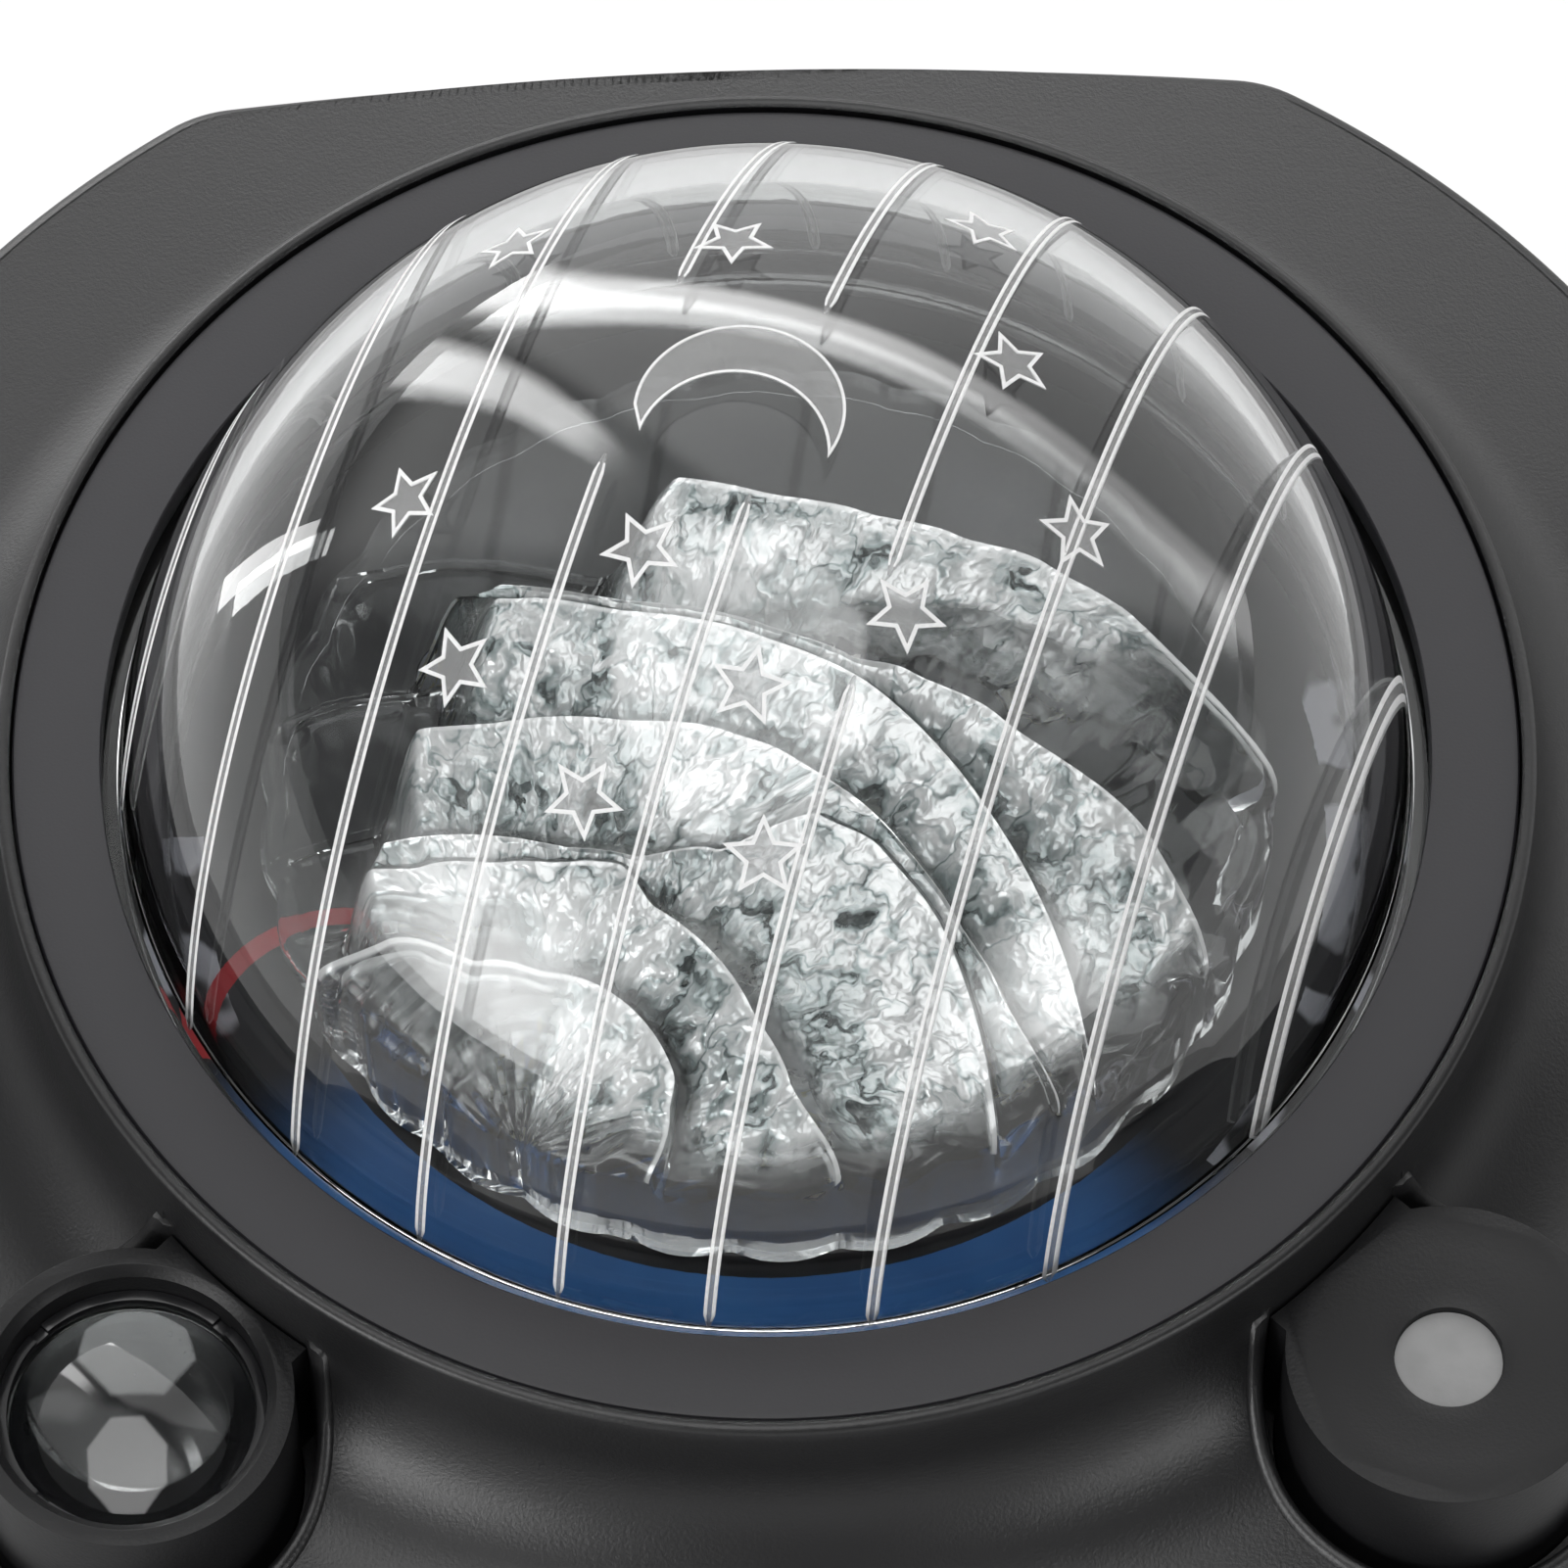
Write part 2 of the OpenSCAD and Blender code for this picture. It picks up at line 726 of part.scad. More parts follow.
module light_tray() {
    color("#1f4f9a") difference() {
        union() {
            rod(tray_r, frame_top, tray_z);
            ring(tray_r - 2, tray_r, frame_top, dome_z - 0.4);
            rod(hub_r - 1, frame_top - 3.2, gear_z - loose);
            for (x = [-1, 1]) translate([x * motor_ear, gear_reach, 0]) rod(2, tray_z - eps, tray_z + 1);
        }
        rod(pin_r, frame_top - 3, tray_z + 2);
        translate([0, gear_reach, 0]) rod(1.5, frame_top - 1, tray_z + 1);
        for (x = [-1, 1]) translate([x * motor_ear, gear_reach, 0])
            rod(motor_screw_r + thread, frame_top - 1, tray_z + 0.8);
        at_lamps() rod(lamp_lens_r + 0.2, frame_top - 1, tray_z + 1);
    }
}

module lamp_lenses() {
    low = lamp_board_z + board_t + lamp_h;
    rise = 1.4;
    ball_r = (lamp_lens_r ^ 2 + rise ^ 2) / (2 * rise);
    color([0.9, 0.95, 1, 0.5]) at_lamps() union() {
        rod(lamp_lens_r, low, tray_z + 0.2);
        intersection() {
            translate([0, 0, tray_z + 0.2 + rise - ball_r]) sphere(r = ball_r);
            rod(lamp_lens_r, tray_z + 0.2 - eps, tray_z + 3);
        }
    }
}

module lamps() {
    color("#f3ecc0") at_lamps() translate([-1.75, -1.75, lamp_board_z + board_t]) cube([3.5, 3.5, lamp_h]);
}

// Slot that leaves room for the motor
module motor_slot(z0, z1) {
    translate([-slot_half, gear_reach - motor_r - 2, z0]) cube([2 * slot_half, case_r, z1 - z0]);
}

lamp_board_r = frame_r - frame_wall - 1;
lamp_screw_r = lamp_board_r - 3;

module at_lamp_screws() {
    for (turn = [20, 160, 225, 315]) rotate(turn) translate([lamp_screw_r, 0, 0]) children();
}

module lamp_board() {
    color("#e9e9e4") difference() {
        rod(lamp_board_r, lamp_board_z, lamp_board_z + board_t);
        rod(hub_r + 0.5, lamp_board_z - 1, lamp_board_z + board_t + 1);
        motor_slot(lamp_board_z - 1, lamp_board_z + board_t + 1);
        at_lamp_screws() rod(screw_r + fit, lamp_board_z - 1, lamp_board_z + board_t + 1);
    }
}

module lamp_board_screws() {
    color("#b8bcc0") at_lamp_screws() translate([0, 0, lamp_board_z])
        screw(screw_r, screw_head_r, screw_head_h, board_t + frame_t - 0.2);
}

module heat_sink() {
    low = lamp_board_z - sink_t;
    color("#a9adb1") difference() {
        union() {
            rod(sink_r, low, lamp_board_z);
            intersection() {
                rod(sink_r - 0.5, low - fin_h, low + 1);
                for (i = [-5 : 5]) translate([i * 7.4 - 0.8, -sink_r, low - fin_h]) cube([1.6, 2 * sink_r, fin_h + 1]);
            }
        }
        rod(hub_r + 0.5, low - fin_h - 1, lamp_board_z + 1);
        motor_slot(low - fin_h - 1, lamp_board_z + 1);
    }
}

module inner_frame() {
    color("#2e2e30") difference() {
        union() {
            ring(tray_r - 5, frame_r, frame_top - frame_t, frame_top);
            ring(frame_r - frame_wall, frame_r, frame_low, frame_top);
            at_frame_ears() union() {
                rod(boss_r + 0.5, frame_low, frame_low + 2);
                translate([-4, -boss_r - 0.5, frame_low]) cube([4, 2 * boss_r + 1, 2]);
            }
        }
        at_frame_ears() rod(screw_r + fit, frame_low - 1, frame_low + 3);
        at_lamp_screws() rod(screw_r + thread, frame_top - frame_t - 1, frame_top + 1);
    }
}

module frame_screws() {
    color("#b8bcc0") at_frame_ears() translate([0, 0, frame_low])
        screw(screw_r, screw_head_r, screw_head_h, 6);
}

// ---- Buttons ----

module push_button(i) {
    at_button(i) union() {
        rod(button_r, 0, button_cap_t + eps);
        rod(button_r + 1, button_cap_t, button_cap_t + button_flange_t);
        rod(2, button_cap_t + button_flange_t - eps, button_cap_t + button_flange_t + button_stem);
    }
}

module power_button() {
    color("#b0382f") push_button(0);
}

module colour_button() {
    color("#3a3a3d") push_button(1);
}

module speed_button() {
    color("#3a3a3d") push_button(2);
}

module star_button() {
    color("#3a3a3d") push_button(3);
}

module button_board() {
    color("#2f6b3c") difference() {
        translate([-button_board_x, button_board_y, button_z - button_board_h / 2])
            cube([2 * button_board_x, board_t, button_board_h]);
        for (x = [-1, 1]) translate([x * button_screw_x, 0, button_z]) rotate([-90, 0, 0])
            rod(screw_r + fit, button_board_y - 1, button_board_y + board_t + 1);
    }
}

module button_switches() {
    depth = button_board_y - button_y;
    color("#c9c9c9") for (i = [0 : 3]) at_button(i) union() {
        translate([-3, -3, depth - switch_h]) cube([6, 6, switch_h]);
        rod(1.7, depth - switch_h - plunger_h, depth - switch_h + eps);
    }
}

module button_board_screws() {
    color("#b8bcc0") for (x = [-1, 1])
        translate([x * button_screw_x, button_board_y + board_t, button_z]) rotate([90, 0, 0])
            screw(screw_r, screw_head_r, screw_head_h, board_t + 5);
}

// ---- Main board ----

module main_board() {
    color("#2f6b3c") difference() {
        translate([-main_board_w / 2, main_board_y, main_board_z])
            cube([main_board_w, main_board_l, board_t]);
        for (x = [-1, 1], y = board_screw_y) translate([x * board_screw_x, y, 0])
            rod(screw_r + fit, main_board_z - 1, main_board_z + board_t + 1);
    }
}

module board_chips() {
    top = main_board_z + board_t;
    color("#1b1b1d") translate([0, main_board_y, top]) {
        translate([-5, 22, 0]) cube([10, 10, 1.6]);
        translate([10, 18, 0]) cube([6, 5, 1.5]);
        translate([-17, 12, 0]) cube([5, 6, 1.5]);
        for (x = [-14, 14]) translate([x, 38, 0]) rod(3, 0, 7);
        translate([-4, 8, 0]) cube([8, 5, 4.5]);
    }
}

module main_board_screws() {
    color("#b8bcc0") for (x = [-1, 1], y = board_screw_y)
        translate([x * board_screw_x, y, main_board_z + board_t]) mirror([0, 0, 1])
            screw(screw_r, screw_head_r, screw_head_h, board_t + 3);
}

module power_socket() {
    back = face_y - 1;
    low = main_board_z + board_t;
    color("#c8ccd0") difference() {
        translate([-socket_w / 2, back - 8, low]) cube([socket_w, 8, socket_h]);
        translate([-socket_w / 2 + 0.4, back - 6.5, low + 0.4]) cube([socket_w - 0.8, 7, socket_h - 0.8]);
    }
    color("#1b1b1d") translate([-3.2, back - 6.6, low + socket_h / 2 - 0.35]) cube([6.4, 5, 0.7]);
}

lower_case();
upper_case();
bezel_ring();
dome_cover();
rubber_feet();
case_screws();
moon_barrel();
moon_lens();
lens_ring();
moon_slide();
slide_sleeve();
moon_lamp();
moon_lamp_board();
star_barrel();
star_window();
laser_grating();
laser_holder();
laser_module();
laser_board();
barrel_screws();
wave_rotor();
rotor_gear();
rotor_pin();
motor_pinion();
drive_motor();
motor_screws();
light_tray();
lamp_lenses();
lamps();
lamp_board();
lamp_board_screws();
heat_sink();
inner_frame();
frame_screws();
power_button();
colour_button();
speed_button();
star_button();
button_board();
button_switches();
button_board_screws();
main_board();
board_chips();
main_board_screws();
power_socket();
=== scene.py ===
# %% [markdown]
# # Star night light projector
# A near-black moulded case carries a clear engraved dome over a turning, rippled rotor, and two short
# barrels stand at its front corners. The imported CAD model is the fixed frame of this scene: it gives
# every place and size, and each visible part is then finished or modelled again here, in metres.

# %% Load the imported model
import json
import math

import bmesh
import bpy
from mathutils import Matrix, Vector, noise


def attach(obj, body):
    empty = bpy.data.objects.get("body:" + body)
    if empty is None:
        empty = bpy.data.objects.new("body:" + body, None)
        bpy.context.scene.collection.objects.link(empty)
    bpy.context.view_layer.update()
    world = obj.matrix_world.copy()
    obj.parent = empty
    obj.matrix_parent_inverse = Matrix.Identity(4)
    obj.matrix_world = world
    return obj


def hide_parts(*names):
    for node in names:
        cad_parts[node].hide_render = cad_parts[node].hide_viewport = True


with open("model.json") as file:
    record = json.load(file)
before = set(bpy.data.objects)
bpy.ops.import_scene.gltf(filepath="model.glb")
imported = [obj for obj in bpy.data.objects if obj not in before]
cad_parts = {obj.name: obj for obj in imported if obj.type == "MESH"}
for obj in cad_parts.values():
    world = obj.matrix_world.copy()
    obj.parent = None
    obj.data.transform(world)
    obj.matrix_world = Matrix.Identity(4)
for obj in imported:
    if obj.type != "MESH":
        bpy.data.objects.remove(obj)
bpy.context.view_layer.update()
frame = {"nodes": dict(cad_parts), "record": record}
MM = 0.001

# %% [markdown]
# ## The camera
# The camera looks down at the middle of the bezel from 60 degrees above the table, a little to the left
# of the front. A long lens from 0.69 m keeps upright edges nearly parallel. The object isn't centred in
# the frame, so the camera has a small shift and its direction stays true.

# %% Place the camera
def added(name, data):
    """A new object in the scene."""
    made = bpy.data.objects.new(name, data)
    bpy.context.scene.collection.objects.link(made)
    return made


AIM = Vector((0, 0, 72)) * MM
ELEVATION = math.radians(60.13)
TURN = math.radians(2.35)
ROLL = math.radians(0.26)
DISTANCE = 0.694

towards = Vector((-math.sin(TURN) * math.cos(ELEVATION), -math.cos(TURN) * math.cos(ELEVATION),
                  math.sin(ELEVATION)))
camera = added("camera", bpy.data.cameras.new("camera"))
camera.data.lens = 211.9
camera.data.sensor_width = 36
camera.data.shift_x = 0.0116
camera.data.shift_y = -0.0312
camera.data.clip_start = 0.05
camera.location = AIM + towards * DISTANCE
camera.rotation_euler = ((-towards).to_track_quat("-Z", "Y").to_matrix()
                         @ Matrix.Rotation(ROLL, 3, "Z")).to_euler()
bpy.context.scene.camera = camera
print("camera", [round(c, 3) for c in camera.location])

# %% [markdown]
# ## Shader maths as plain sums
# A material's pattern is easier to read as a sum than as a web of nodes. `Value` wraps one socket, and
# each operator on it adds one Math node. `Finish` is one material, and its `node` method adds any other
# node.

# %% A small language for materials
class Value:
    """One output socket that adds a Math node when it is used in a sum."""

    def __init__(self, finish, socket):
        self.finish, self.socket = finish, socket

    def maths(self, operation, other=0.0):
        """The operation on this value and another, which some operations leave out."""
        return self.finish.node("ShaderNodeMath", {"operation": operation}, {0: self, 1: other})

    def __add__(self, other):
        return self.maths("ADD", other)

    def __sub__(self, other):
        return self.maths("SUBTRACT", other)

    def __rsub__(self, other):
        return self.finish.node("ShaderNodeMath", {"operation": "SUBTRACT"}, {0: other, 1: self})

    def __mul__(self, other):
        return self.maths("MULTIPLY", other)

    def __gt__(self, other):
        return self.maths("GREATER_THAN", other)

    def __lt__(self, other):
        return self.maths("LESS_THAN", other)

    def __abs__(self):
        return self.maths("ABSOLUTE")

    __radd__, __rmul__ = __add__, __mul__


def length(x, y):
    """Length of the vector (x, y), from two values."""
    return (x * x + y * y).maths("SQRT")


class Finish:
    """One material: its nodes, and the principled shader that they feed."""

    def __init__(self, name, **sockets):
        self.material = bpy.data.materials.new(name)
        self.material.use_nodes = True
        self.tree = self.material.node_tree
        self.shader = self.tree.nodes["Principled BSDF"]
        self.give(**sockets)

    def give(self, **sockets):
        """Feeds sockets of the principled shader by name."""
        for socket, value in sockets.items():
            self.feed(self.shader.inputs[socket.replace("_", " ")], value)
        return self

    def feed(self, socket, value):
        if isinstance(value, Value):
            self.tree.links.new(value.socket, socket)
        elif isinstance(value, tuple) and socket.type == "RGBA":
            socket.default_value = (*value, 1)
        else:
            socket.default_value = value

    def node(self, kind, settings=None, sockets=None, output=0):
        made = self.tree.nodes.new(kind)
        for key, value in (settings or {}).items():
            setattr(made, key, value)
        for key, value in (sockets or {}).items():
            self.feed(made.inputs[key], value)
        return Value(self, made.outputs[output])

    def place(self):
        return self.node("ShaderNodeTexCoord", output=3)

    def axis(self, place, name):
        return self.node("ShaderNodeSeparateXYZ", sockets={0: place}, output="XYZ".index(name))

    def noise(self, per_mm, detail=2.0, roughness=0.5):
        return self.node("ShaderNodeTexNoise", {}, {"Vector": self.place(), "Scale": per_mm / MM,
                                                    "Detail": detail, "Roughness": roughness})

    def blend(self, share, first, second):
        """A colour between two, at a share from 0 to 1."""
        return self.node("ShaderNodeMix", {"data_type": "RGBA"},
                         {0: share, 6: first, 7: second}, output=2)

    def spread(self, value, low, high):
        """Maps a value from 0..1 to low..high."""
        return value * (high - low) + low

    def smooth(self, value, low, high, to_low=0.0, to_high=1.0):
        """A soft step: to_low below low, to_high above high."""
        return self.node("ShaderNodeMapRange", {"interpolation_type": "SMOOTHSTEP"},
                         {0: value, 1: low, 2: high, 3: to_low, 4: to_high})

    def grain(self, height, depth_mm, strength=1.0):
        """Feeds the surface's normal from a height pattern of that depth."""
        bump = self.node("ShaderNodeBump", {}, {"Strength": strength, "Distance": depth_mm * MM,
                                                "Height": height})
        return self.give(Normal=bump)

    def mixed(self, share, second):
        """Shows a second shader in place of the principled one, by that share."""
        mix = self.node("ShaderNodeMixShader", {}, {0: share, 1: Value(self, self.shader.outputs[0]),
                                                    2: second})
        self.feed(self.tree.nodes["Material Output"].inputs["Surface"], mix)
        return self


print("shader helpers ready")

# %% [markdown]
# ## Black moulded plastic
# The case is moulded in black plastic with a fine spark-eroded texture, which breaks reflections up and
# makes the surface look dark grey. Two scales of noise give the grain and a slight change of gloss.

# %% Case and bezel plastics
def moulded(name, colour, gloss, grain_mm, cell_per_mm=3.2, ior=1.5):
    finish = Finish(name, Base_Color=colour, IOR=ior)
    fine = finish.noise(cell_per_mm, 3.0, 0.6)
    broad = finish.noise(0.05, 2.0)
    shade = finish.blend(broad, tuple(c * 0.88 for c in colour), tuple(c * 1.12 for c in colour))
    finish.give(Base_Color=shade, Roughness=finish.spread(fine, gloss - 0.05, gloss + 0.05))
    return finish.grain(fine, grain_mm).material


case_plastic = moulded("case_plastic", (0.007, 0.007, 0.0075), 0.38, 0.036)
bezel_plastic = moulded("bezel_plastic", (0.014, 0.0135, 0.0165), 0.5, 0.012, 4.0)
barrel_plastic = moulded("barrel_plastic", (0.004, 0.004, 0.0045), 0.42, 0.03, 3.2, 1.38)
gloss_black = moulded("gloss_black", (0.008, 0.008, 0.009), 0.2, 0.002)
print("plastics:", case_plastic.name, bezel_plastic.name, barrel_plastic.name)

# %% [markdown]
# ## Making pieces
# Round pieces are turned: a half section is spun about an upright axis. Other pieces start as a flat grid
# whose points are then put in their places, like a sheet that is rolled or bent. `finished` turns either
# into an object that rides on a body of the CAD model.

# %% Turn, roll and finish
def turned(section, steps=192, centre=(0, 0)):
    """A closed half section of (radius, height) points in mm, spun about an upright axis."""
    bm = bmesh.new()
    points = [bm.verts.new(Vector((r, 0, z)) * MM) for r, z in section]
    lines = [bm.edges.new((a, b)) for a, b in zip(points, points[1:] + points[:1])
             if a.co.x > 0 or b.co.x > 0]
    bmesh.ops.spin(bm, geom=points + lines, axis=(0, 0, 1), cent=(0, 0, 0), angle=math.tau,
                   steps=steps, use_merge=True, use_duplicate=False)
    bmesh.ops.remove_doubles(bm, verts=bm.verts, dist=1e-6)
    bmesh.ops.recalc_face_normals(bm, faces=bm.faces)
    bmesh.ops.translate(bm, verts=bm.verts, vec=Vector((*centre, 0)) * MM)
    return bm


def rolled(columns, rows, place, bm=None):
    """A grid whose point (i, j) goes to place(i, j) in mm. The last column joins the first, and the open
    ends are capped."""
    own = bmesh.new()
    bmesh.ops.create_grid(own, x_segments=columns, y_segments=rows, size=1)
    for v in own.verts:
        i, j = round((v.co.x + 1) / 2 * columns), round((v.co.y + 1) / 2 * rows)
        v.co = Vector(place(i, j)) * MM
    bmesh.ops.remove_doubles(own, verts=own.verts, dist=1e-7)
    bmesh.ops.holes_fill(own, edges=[e for e in own.edges if e.is_boundary], sides=0)
    bmesh.ops.recalc_face_normals(own, faces=own.faces)
    return own if bm is None else joined(bm, own)


def mesh_of(name, bm):
    """A mesh made from a bmesh, which is freed."""
    mesh = bpy.data.meshes.new(name)
    bm.to_mesh(mesh)
    bm.free()
    return mesh


def joined(bm, other):
    """Adds a second bmesh to the first."""
    scrap = mesh_of("scrap", other)
    bm.from_mesh(scrap)
    bpy.data.meshes.remove(scrap)
    return bm


def finished(name, bm, material, body="case", stands_for=(), sharp=35):
    """The object of a piece, riding on a body and standing for the nodes that it replaces."""
    mesh = mesh_of(name, bm)
    piece = added(name, mesh)
    for each in material if isinstance(material, list) else [material]:
        mesh.materials.append(each)
    mesh.shade_smooth()
    mesh.set_sharp_from_angle(angle=math.radians(sharp))
    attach(piece, body)
    if stands_for:
        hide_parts(*stands_for)
    print(name, len(mesh.polygons), "faces")
    return piece


def arc(cx, cz, r, start, end, count):
    """Points of an arc in a half section, angles in degrees from the outward direction."""
    angles = [math.radians(start + (end - start) * k / count) for k in range(count + 1)]
    return [(cx + r * math.cos(a), cz + r * math.sin(a)) for a in angles]


print("shape helpers ready")

# %% [markdown]
# ## The upper case
# The real upper case is one moulding: an upright collar, a wide hollow fillet, a gently sloping apron and
# a skirt. It is round, but its front and back are flattened. A spun section gives the round shape, and its
# outer rings are then drawn in to the case's outline, each point keeping the height that the apron has at
# its new radius. The rounded rim comes with the section. This keeps the surface smooth where a boolean of
# a cylinder and a drum would leave a hard edge.

# %% Outline of the case, seen from above
CASE_R, FACE_Y, BOW_R, CORNER_R = 84.0, 73.3, 700.0, 10.0
COLLAR_R, COLLAR_TOP = 58.0, 72.0
FILLET_X, FILLET_Z, FILLET_R = 70.5, 66.2, 12.5
APRON_TILT = 8.5
APRON_SLOPE = math.radians(APRON_TILT)
PARTING_Z = 30.0
corner_y = (((BOW_R - CORNER_R) ** 2 - (BOW_R - FACE_Y) ** 2 - (CASE_R - CORNER_R) ** 2)
            / (2 * (BOW_R - FACE_Y)))
corner_x = math.sqrt((CASE_R - CORNER_R) ** 2 - corner_y ** 2)


def outline_radius(angle, inset=0.0):
    """Distance from the axis to the case's outline, moved in by the inset."""
    c, s = abs(math.cos(angle)), abs(math.sin(angle))
    corner_angle = math.atan2(corner_y, corner_x)
    bow_angle = math.atan2(corner_y + BOW_R - FACE_Y, corner_x)
    tangent = Vector((0, FACE_Y - BOW_R)) + Vector((math.cos(bow_angle), math.sin(bow_angle))) * BOW_R
    here = math.atan2(s, c)
    if here < corner_angle:
        return CASE_R - inset
    if here > math.atan2(tangent.y, tangent.x):
        centre, radius = Vector((0, FACE_Y - BOW_R)), BOW_R - inset
    else:
        centre, radius = Vector((corner_x, corner_y)), CORNER_R - inset
    along = centre.x * c + centre.y * s
    return along + math.sqrt(max(0, radius ** 2 - centre.length_squared + along ** 2))


def shell_top(radius):
    """Height of the collar's fillet or apron at a radius."""
    edge = FILLET_X - FILLET_R * math.sin(APRON_SLOPE)
    if radius >= edge:
        return FILLET_Z - FILLET_R * math.cos(APRON_SLOPE) - (radius - edge) * math.tan(APRON_SLOPE)
    return FILLET_Z - math.sqrt(max(0, FILLET_R ** 2 - (FILLET_X - radius) ** 2))


print("outline radius front, corner, side:",
      [round(outline_radius(math.radians(a)), 1) for a in (90, 57, 0)])

# %% Spin the shell and draw it in to the outline
DRAW_FROM_R = 66.0
RIM_FOOT_Z, SKIRT_TOP_Z = 45.0, 47.0
RIM_ROUND = 1.5


def shell_section():
    """Closed half section of the upper case: outside from the collar's rim down, then inside back up."""
    outside = arc(57.4, COLLAR_TOP - 0.6, 0.6, 150, 0, 6)
    outside += [(COLLAR_R, z) for z in (70, 68, FILLET_Z)]
    outside += arc(FILLET_X, FILLET_Z, FILLET_R, 180, 270 - APRON_TILT, 26)[1:]
    edge = outside[-1][0]
    outside += [(edge + (CASE_R - edge) * k / 12, shell_top(edge + (CASE_R - edge) * k / 12))
                for k in range(1, 13)]
    rim = shell_top(CASE_R)
    outside += [(CASE_R, rim - 2), (CASE_R, RIM_FOOT_Z), (CASE_R, 38), (CASE_R, PARTING_Z + 0.9),
                (CASE_R - 0.6, PARTING_Z + 0.3)]
    inside = [(CASE_R - 2.4, PARTING_Z + 0.3), (CASE_R - 2.4, rim - 2.6), (76, shell_top(76) - 2.5),
              (68, shell_top(68) - 2.6), (61, 55.4), (57, 60), (55.6, 65.5), (50.8, 65.5), (50.8, 67.5),
              (56.9, 67.5), (56.9, 71.2)]
    return outside + inside


def draw_in(v):
    """Moves a point of the round shell in to the case's outline and onto the rounded rim."""
    x, y, z = v.co / MM
    radius, angle = math.hypot(x, y), math.atan2(y, x)
    if radius < DRAW_FROM_R:
        return
    limit = outline_radius(angle)
    share = (radius - DRAW_FROM_R) / (CASE_R - DRAW_FROM_R)
    wall = CASE_R - radius
    new = DRAW_FROM_R + (limit - DRAW_FROM_R) * share if z > SKIRT_TOP_Z else limit - wall
    if z > RIM_FOOT_Z and share < 1:
        z += shell_top(new) - shell_top(radius)
    elif z > RIM_FOOT_Z:
        z += shell_top(limit) - shell_top(CASE_R)
    v.co = Vector((new * math.cos(angle), new * math.sin(angle), z)) * MM


case_bm = turned(shell_section(), steps=720)
for v in case_bm.verts:
    draw_in(v)
bmesh.ops.recalc_face_normals(case_bm, faces=case_bm.faces)
rim_edges = [e for e in case_bm.edges
             if len(e.link_faces) == 2 and e.calc_face_angle(0) > math.radians(50)
             and all(v.co.z > RIM_FOOT_Z * MM and v.co.xy.length > 70 * MM for v in e.verts)
             and e.calc_face_angle_signed(0) > 0]
bmesh.ops.bevel(case_bm, geom=rim_edges, offset=RIM_ROUND * MM, offset_type="OFFSET", segments=5,
                profile=0.5, affect="EDGES", material=-1)
print("shell", len(case_bm.faces), "faces,", len(rim_edges), "rim edges rounded")

# %% [markdown]
# ## Pockets and button holes
# Each barrel stands in a round pocket that is cut through the apron. The cut is a boolean with a spun
# drum, made once and applied, so the shell stays one closed mesh. The same cutter idea makes the four
# holes for the buttons in the front face.

# %% Cut the pockets and the holes
BARREL_REACH, POCKET_R, POCKET_Z = 69.2, 13.5, 49.0
BARREL_ANGLE = math.radians(44.4)
MOON_AT = Vector((-math.sin(BARREL_ANGLE), -math.cos(BARREL_ANGLE))) * BARREL_REACH
STAR_AT = Vector((math.sin(BARREL_ANGLE), -math.cos(BARREL_ANGLE))) * BARREL_REACH
BUTTON_X, BUTTON_Z = (-21.0, -7.0, 7.0, 21.0), 40.0


def cut(piece, cutter_bm):
    """Subtracts a closed bmesh from a piece and leaves the result as its mesh."""
    mesh = mesh_of("cutter", cutter_bm)
    cutter = added("cutter", mesh)
    modifier = piece.modifiers.new("cut", "BOOLEAN")
    modifier.operation, modifier.solver, modifier.object = "DIFFERENCE", "MANIFOLD", cutter
    bpy.context.view_layer.update()
    result = bpy.data.meshes.new_from_object(piece.evaluated_get(bpy.context.evaluated_depsgraph_get()))
    piece.modifiers.clear()
    old, piece.data = piece.data, result
    bpy.data.meshes.remove(old)
    bpy.data.objects.remove(cutter)
    bpy.data.meshes.remove(mesh)


def pocket_drum(at):
    """Cutter for one pocket. It stops just inside the collar's face, so the collar stays whole."""
    drum, stop = turned([(0, 46), (14.1, 46), (14.1, 66.5), (0, 66.5)], 128, at), 57.9 * MM
    for v in drum.verts:
        if v.co.xy.length < stop:
            v.co.xy *= stop / v.co.xy.length
    return drum


def laid_in_face(bm, x):
    """Lays an upright turned piece on its side, at a button's place in the front face."""
    bmesh.ops.rotate(bm, verts=bm.verts, cent=(0, 0, 0), matrix=Matrix.Rotation(-math.pi / 2, 3, "X"))
    bmesh.ops.translate(bm, verts=bm.verts, vec=Vector((x, -FACE_Y, BUTTON_Z)) * MM)
    return bm


upper_shell = finished("upper_shell", case_bm, case_plastic,
                       stands_for=["upper_case"])
drums = joined(pocket_drum(MOON_AT), pocket_drum(STAR_AT))
for x in BUTTON_X:
    joined(drums, laid_in_face(turned([(0, -4), (4.8, -4), (4.8, 5), (0, 5)], 64), x))
cut(upper_shell, drums)
upper_shell.data.shade_smooth()
upper_shell.data.set_sharp_from_angle(angle=math.radians(35))
print("shell after cuts", len(upper_shell.data.polygons), "faces")

# %% [markdown]
# ## Lips of the pockets
# A rounded lip runs around each pocket and climbs the collar's fillet. It is a bent sheet: one direction
# follows the circle, the other goes around the lip's section, and each ring of it starts and stops where
# its own circle meets the collar.

# %% Bend the two lips
LIP_INTO_R, LIP_TOP_Z = 57.6, 65.2


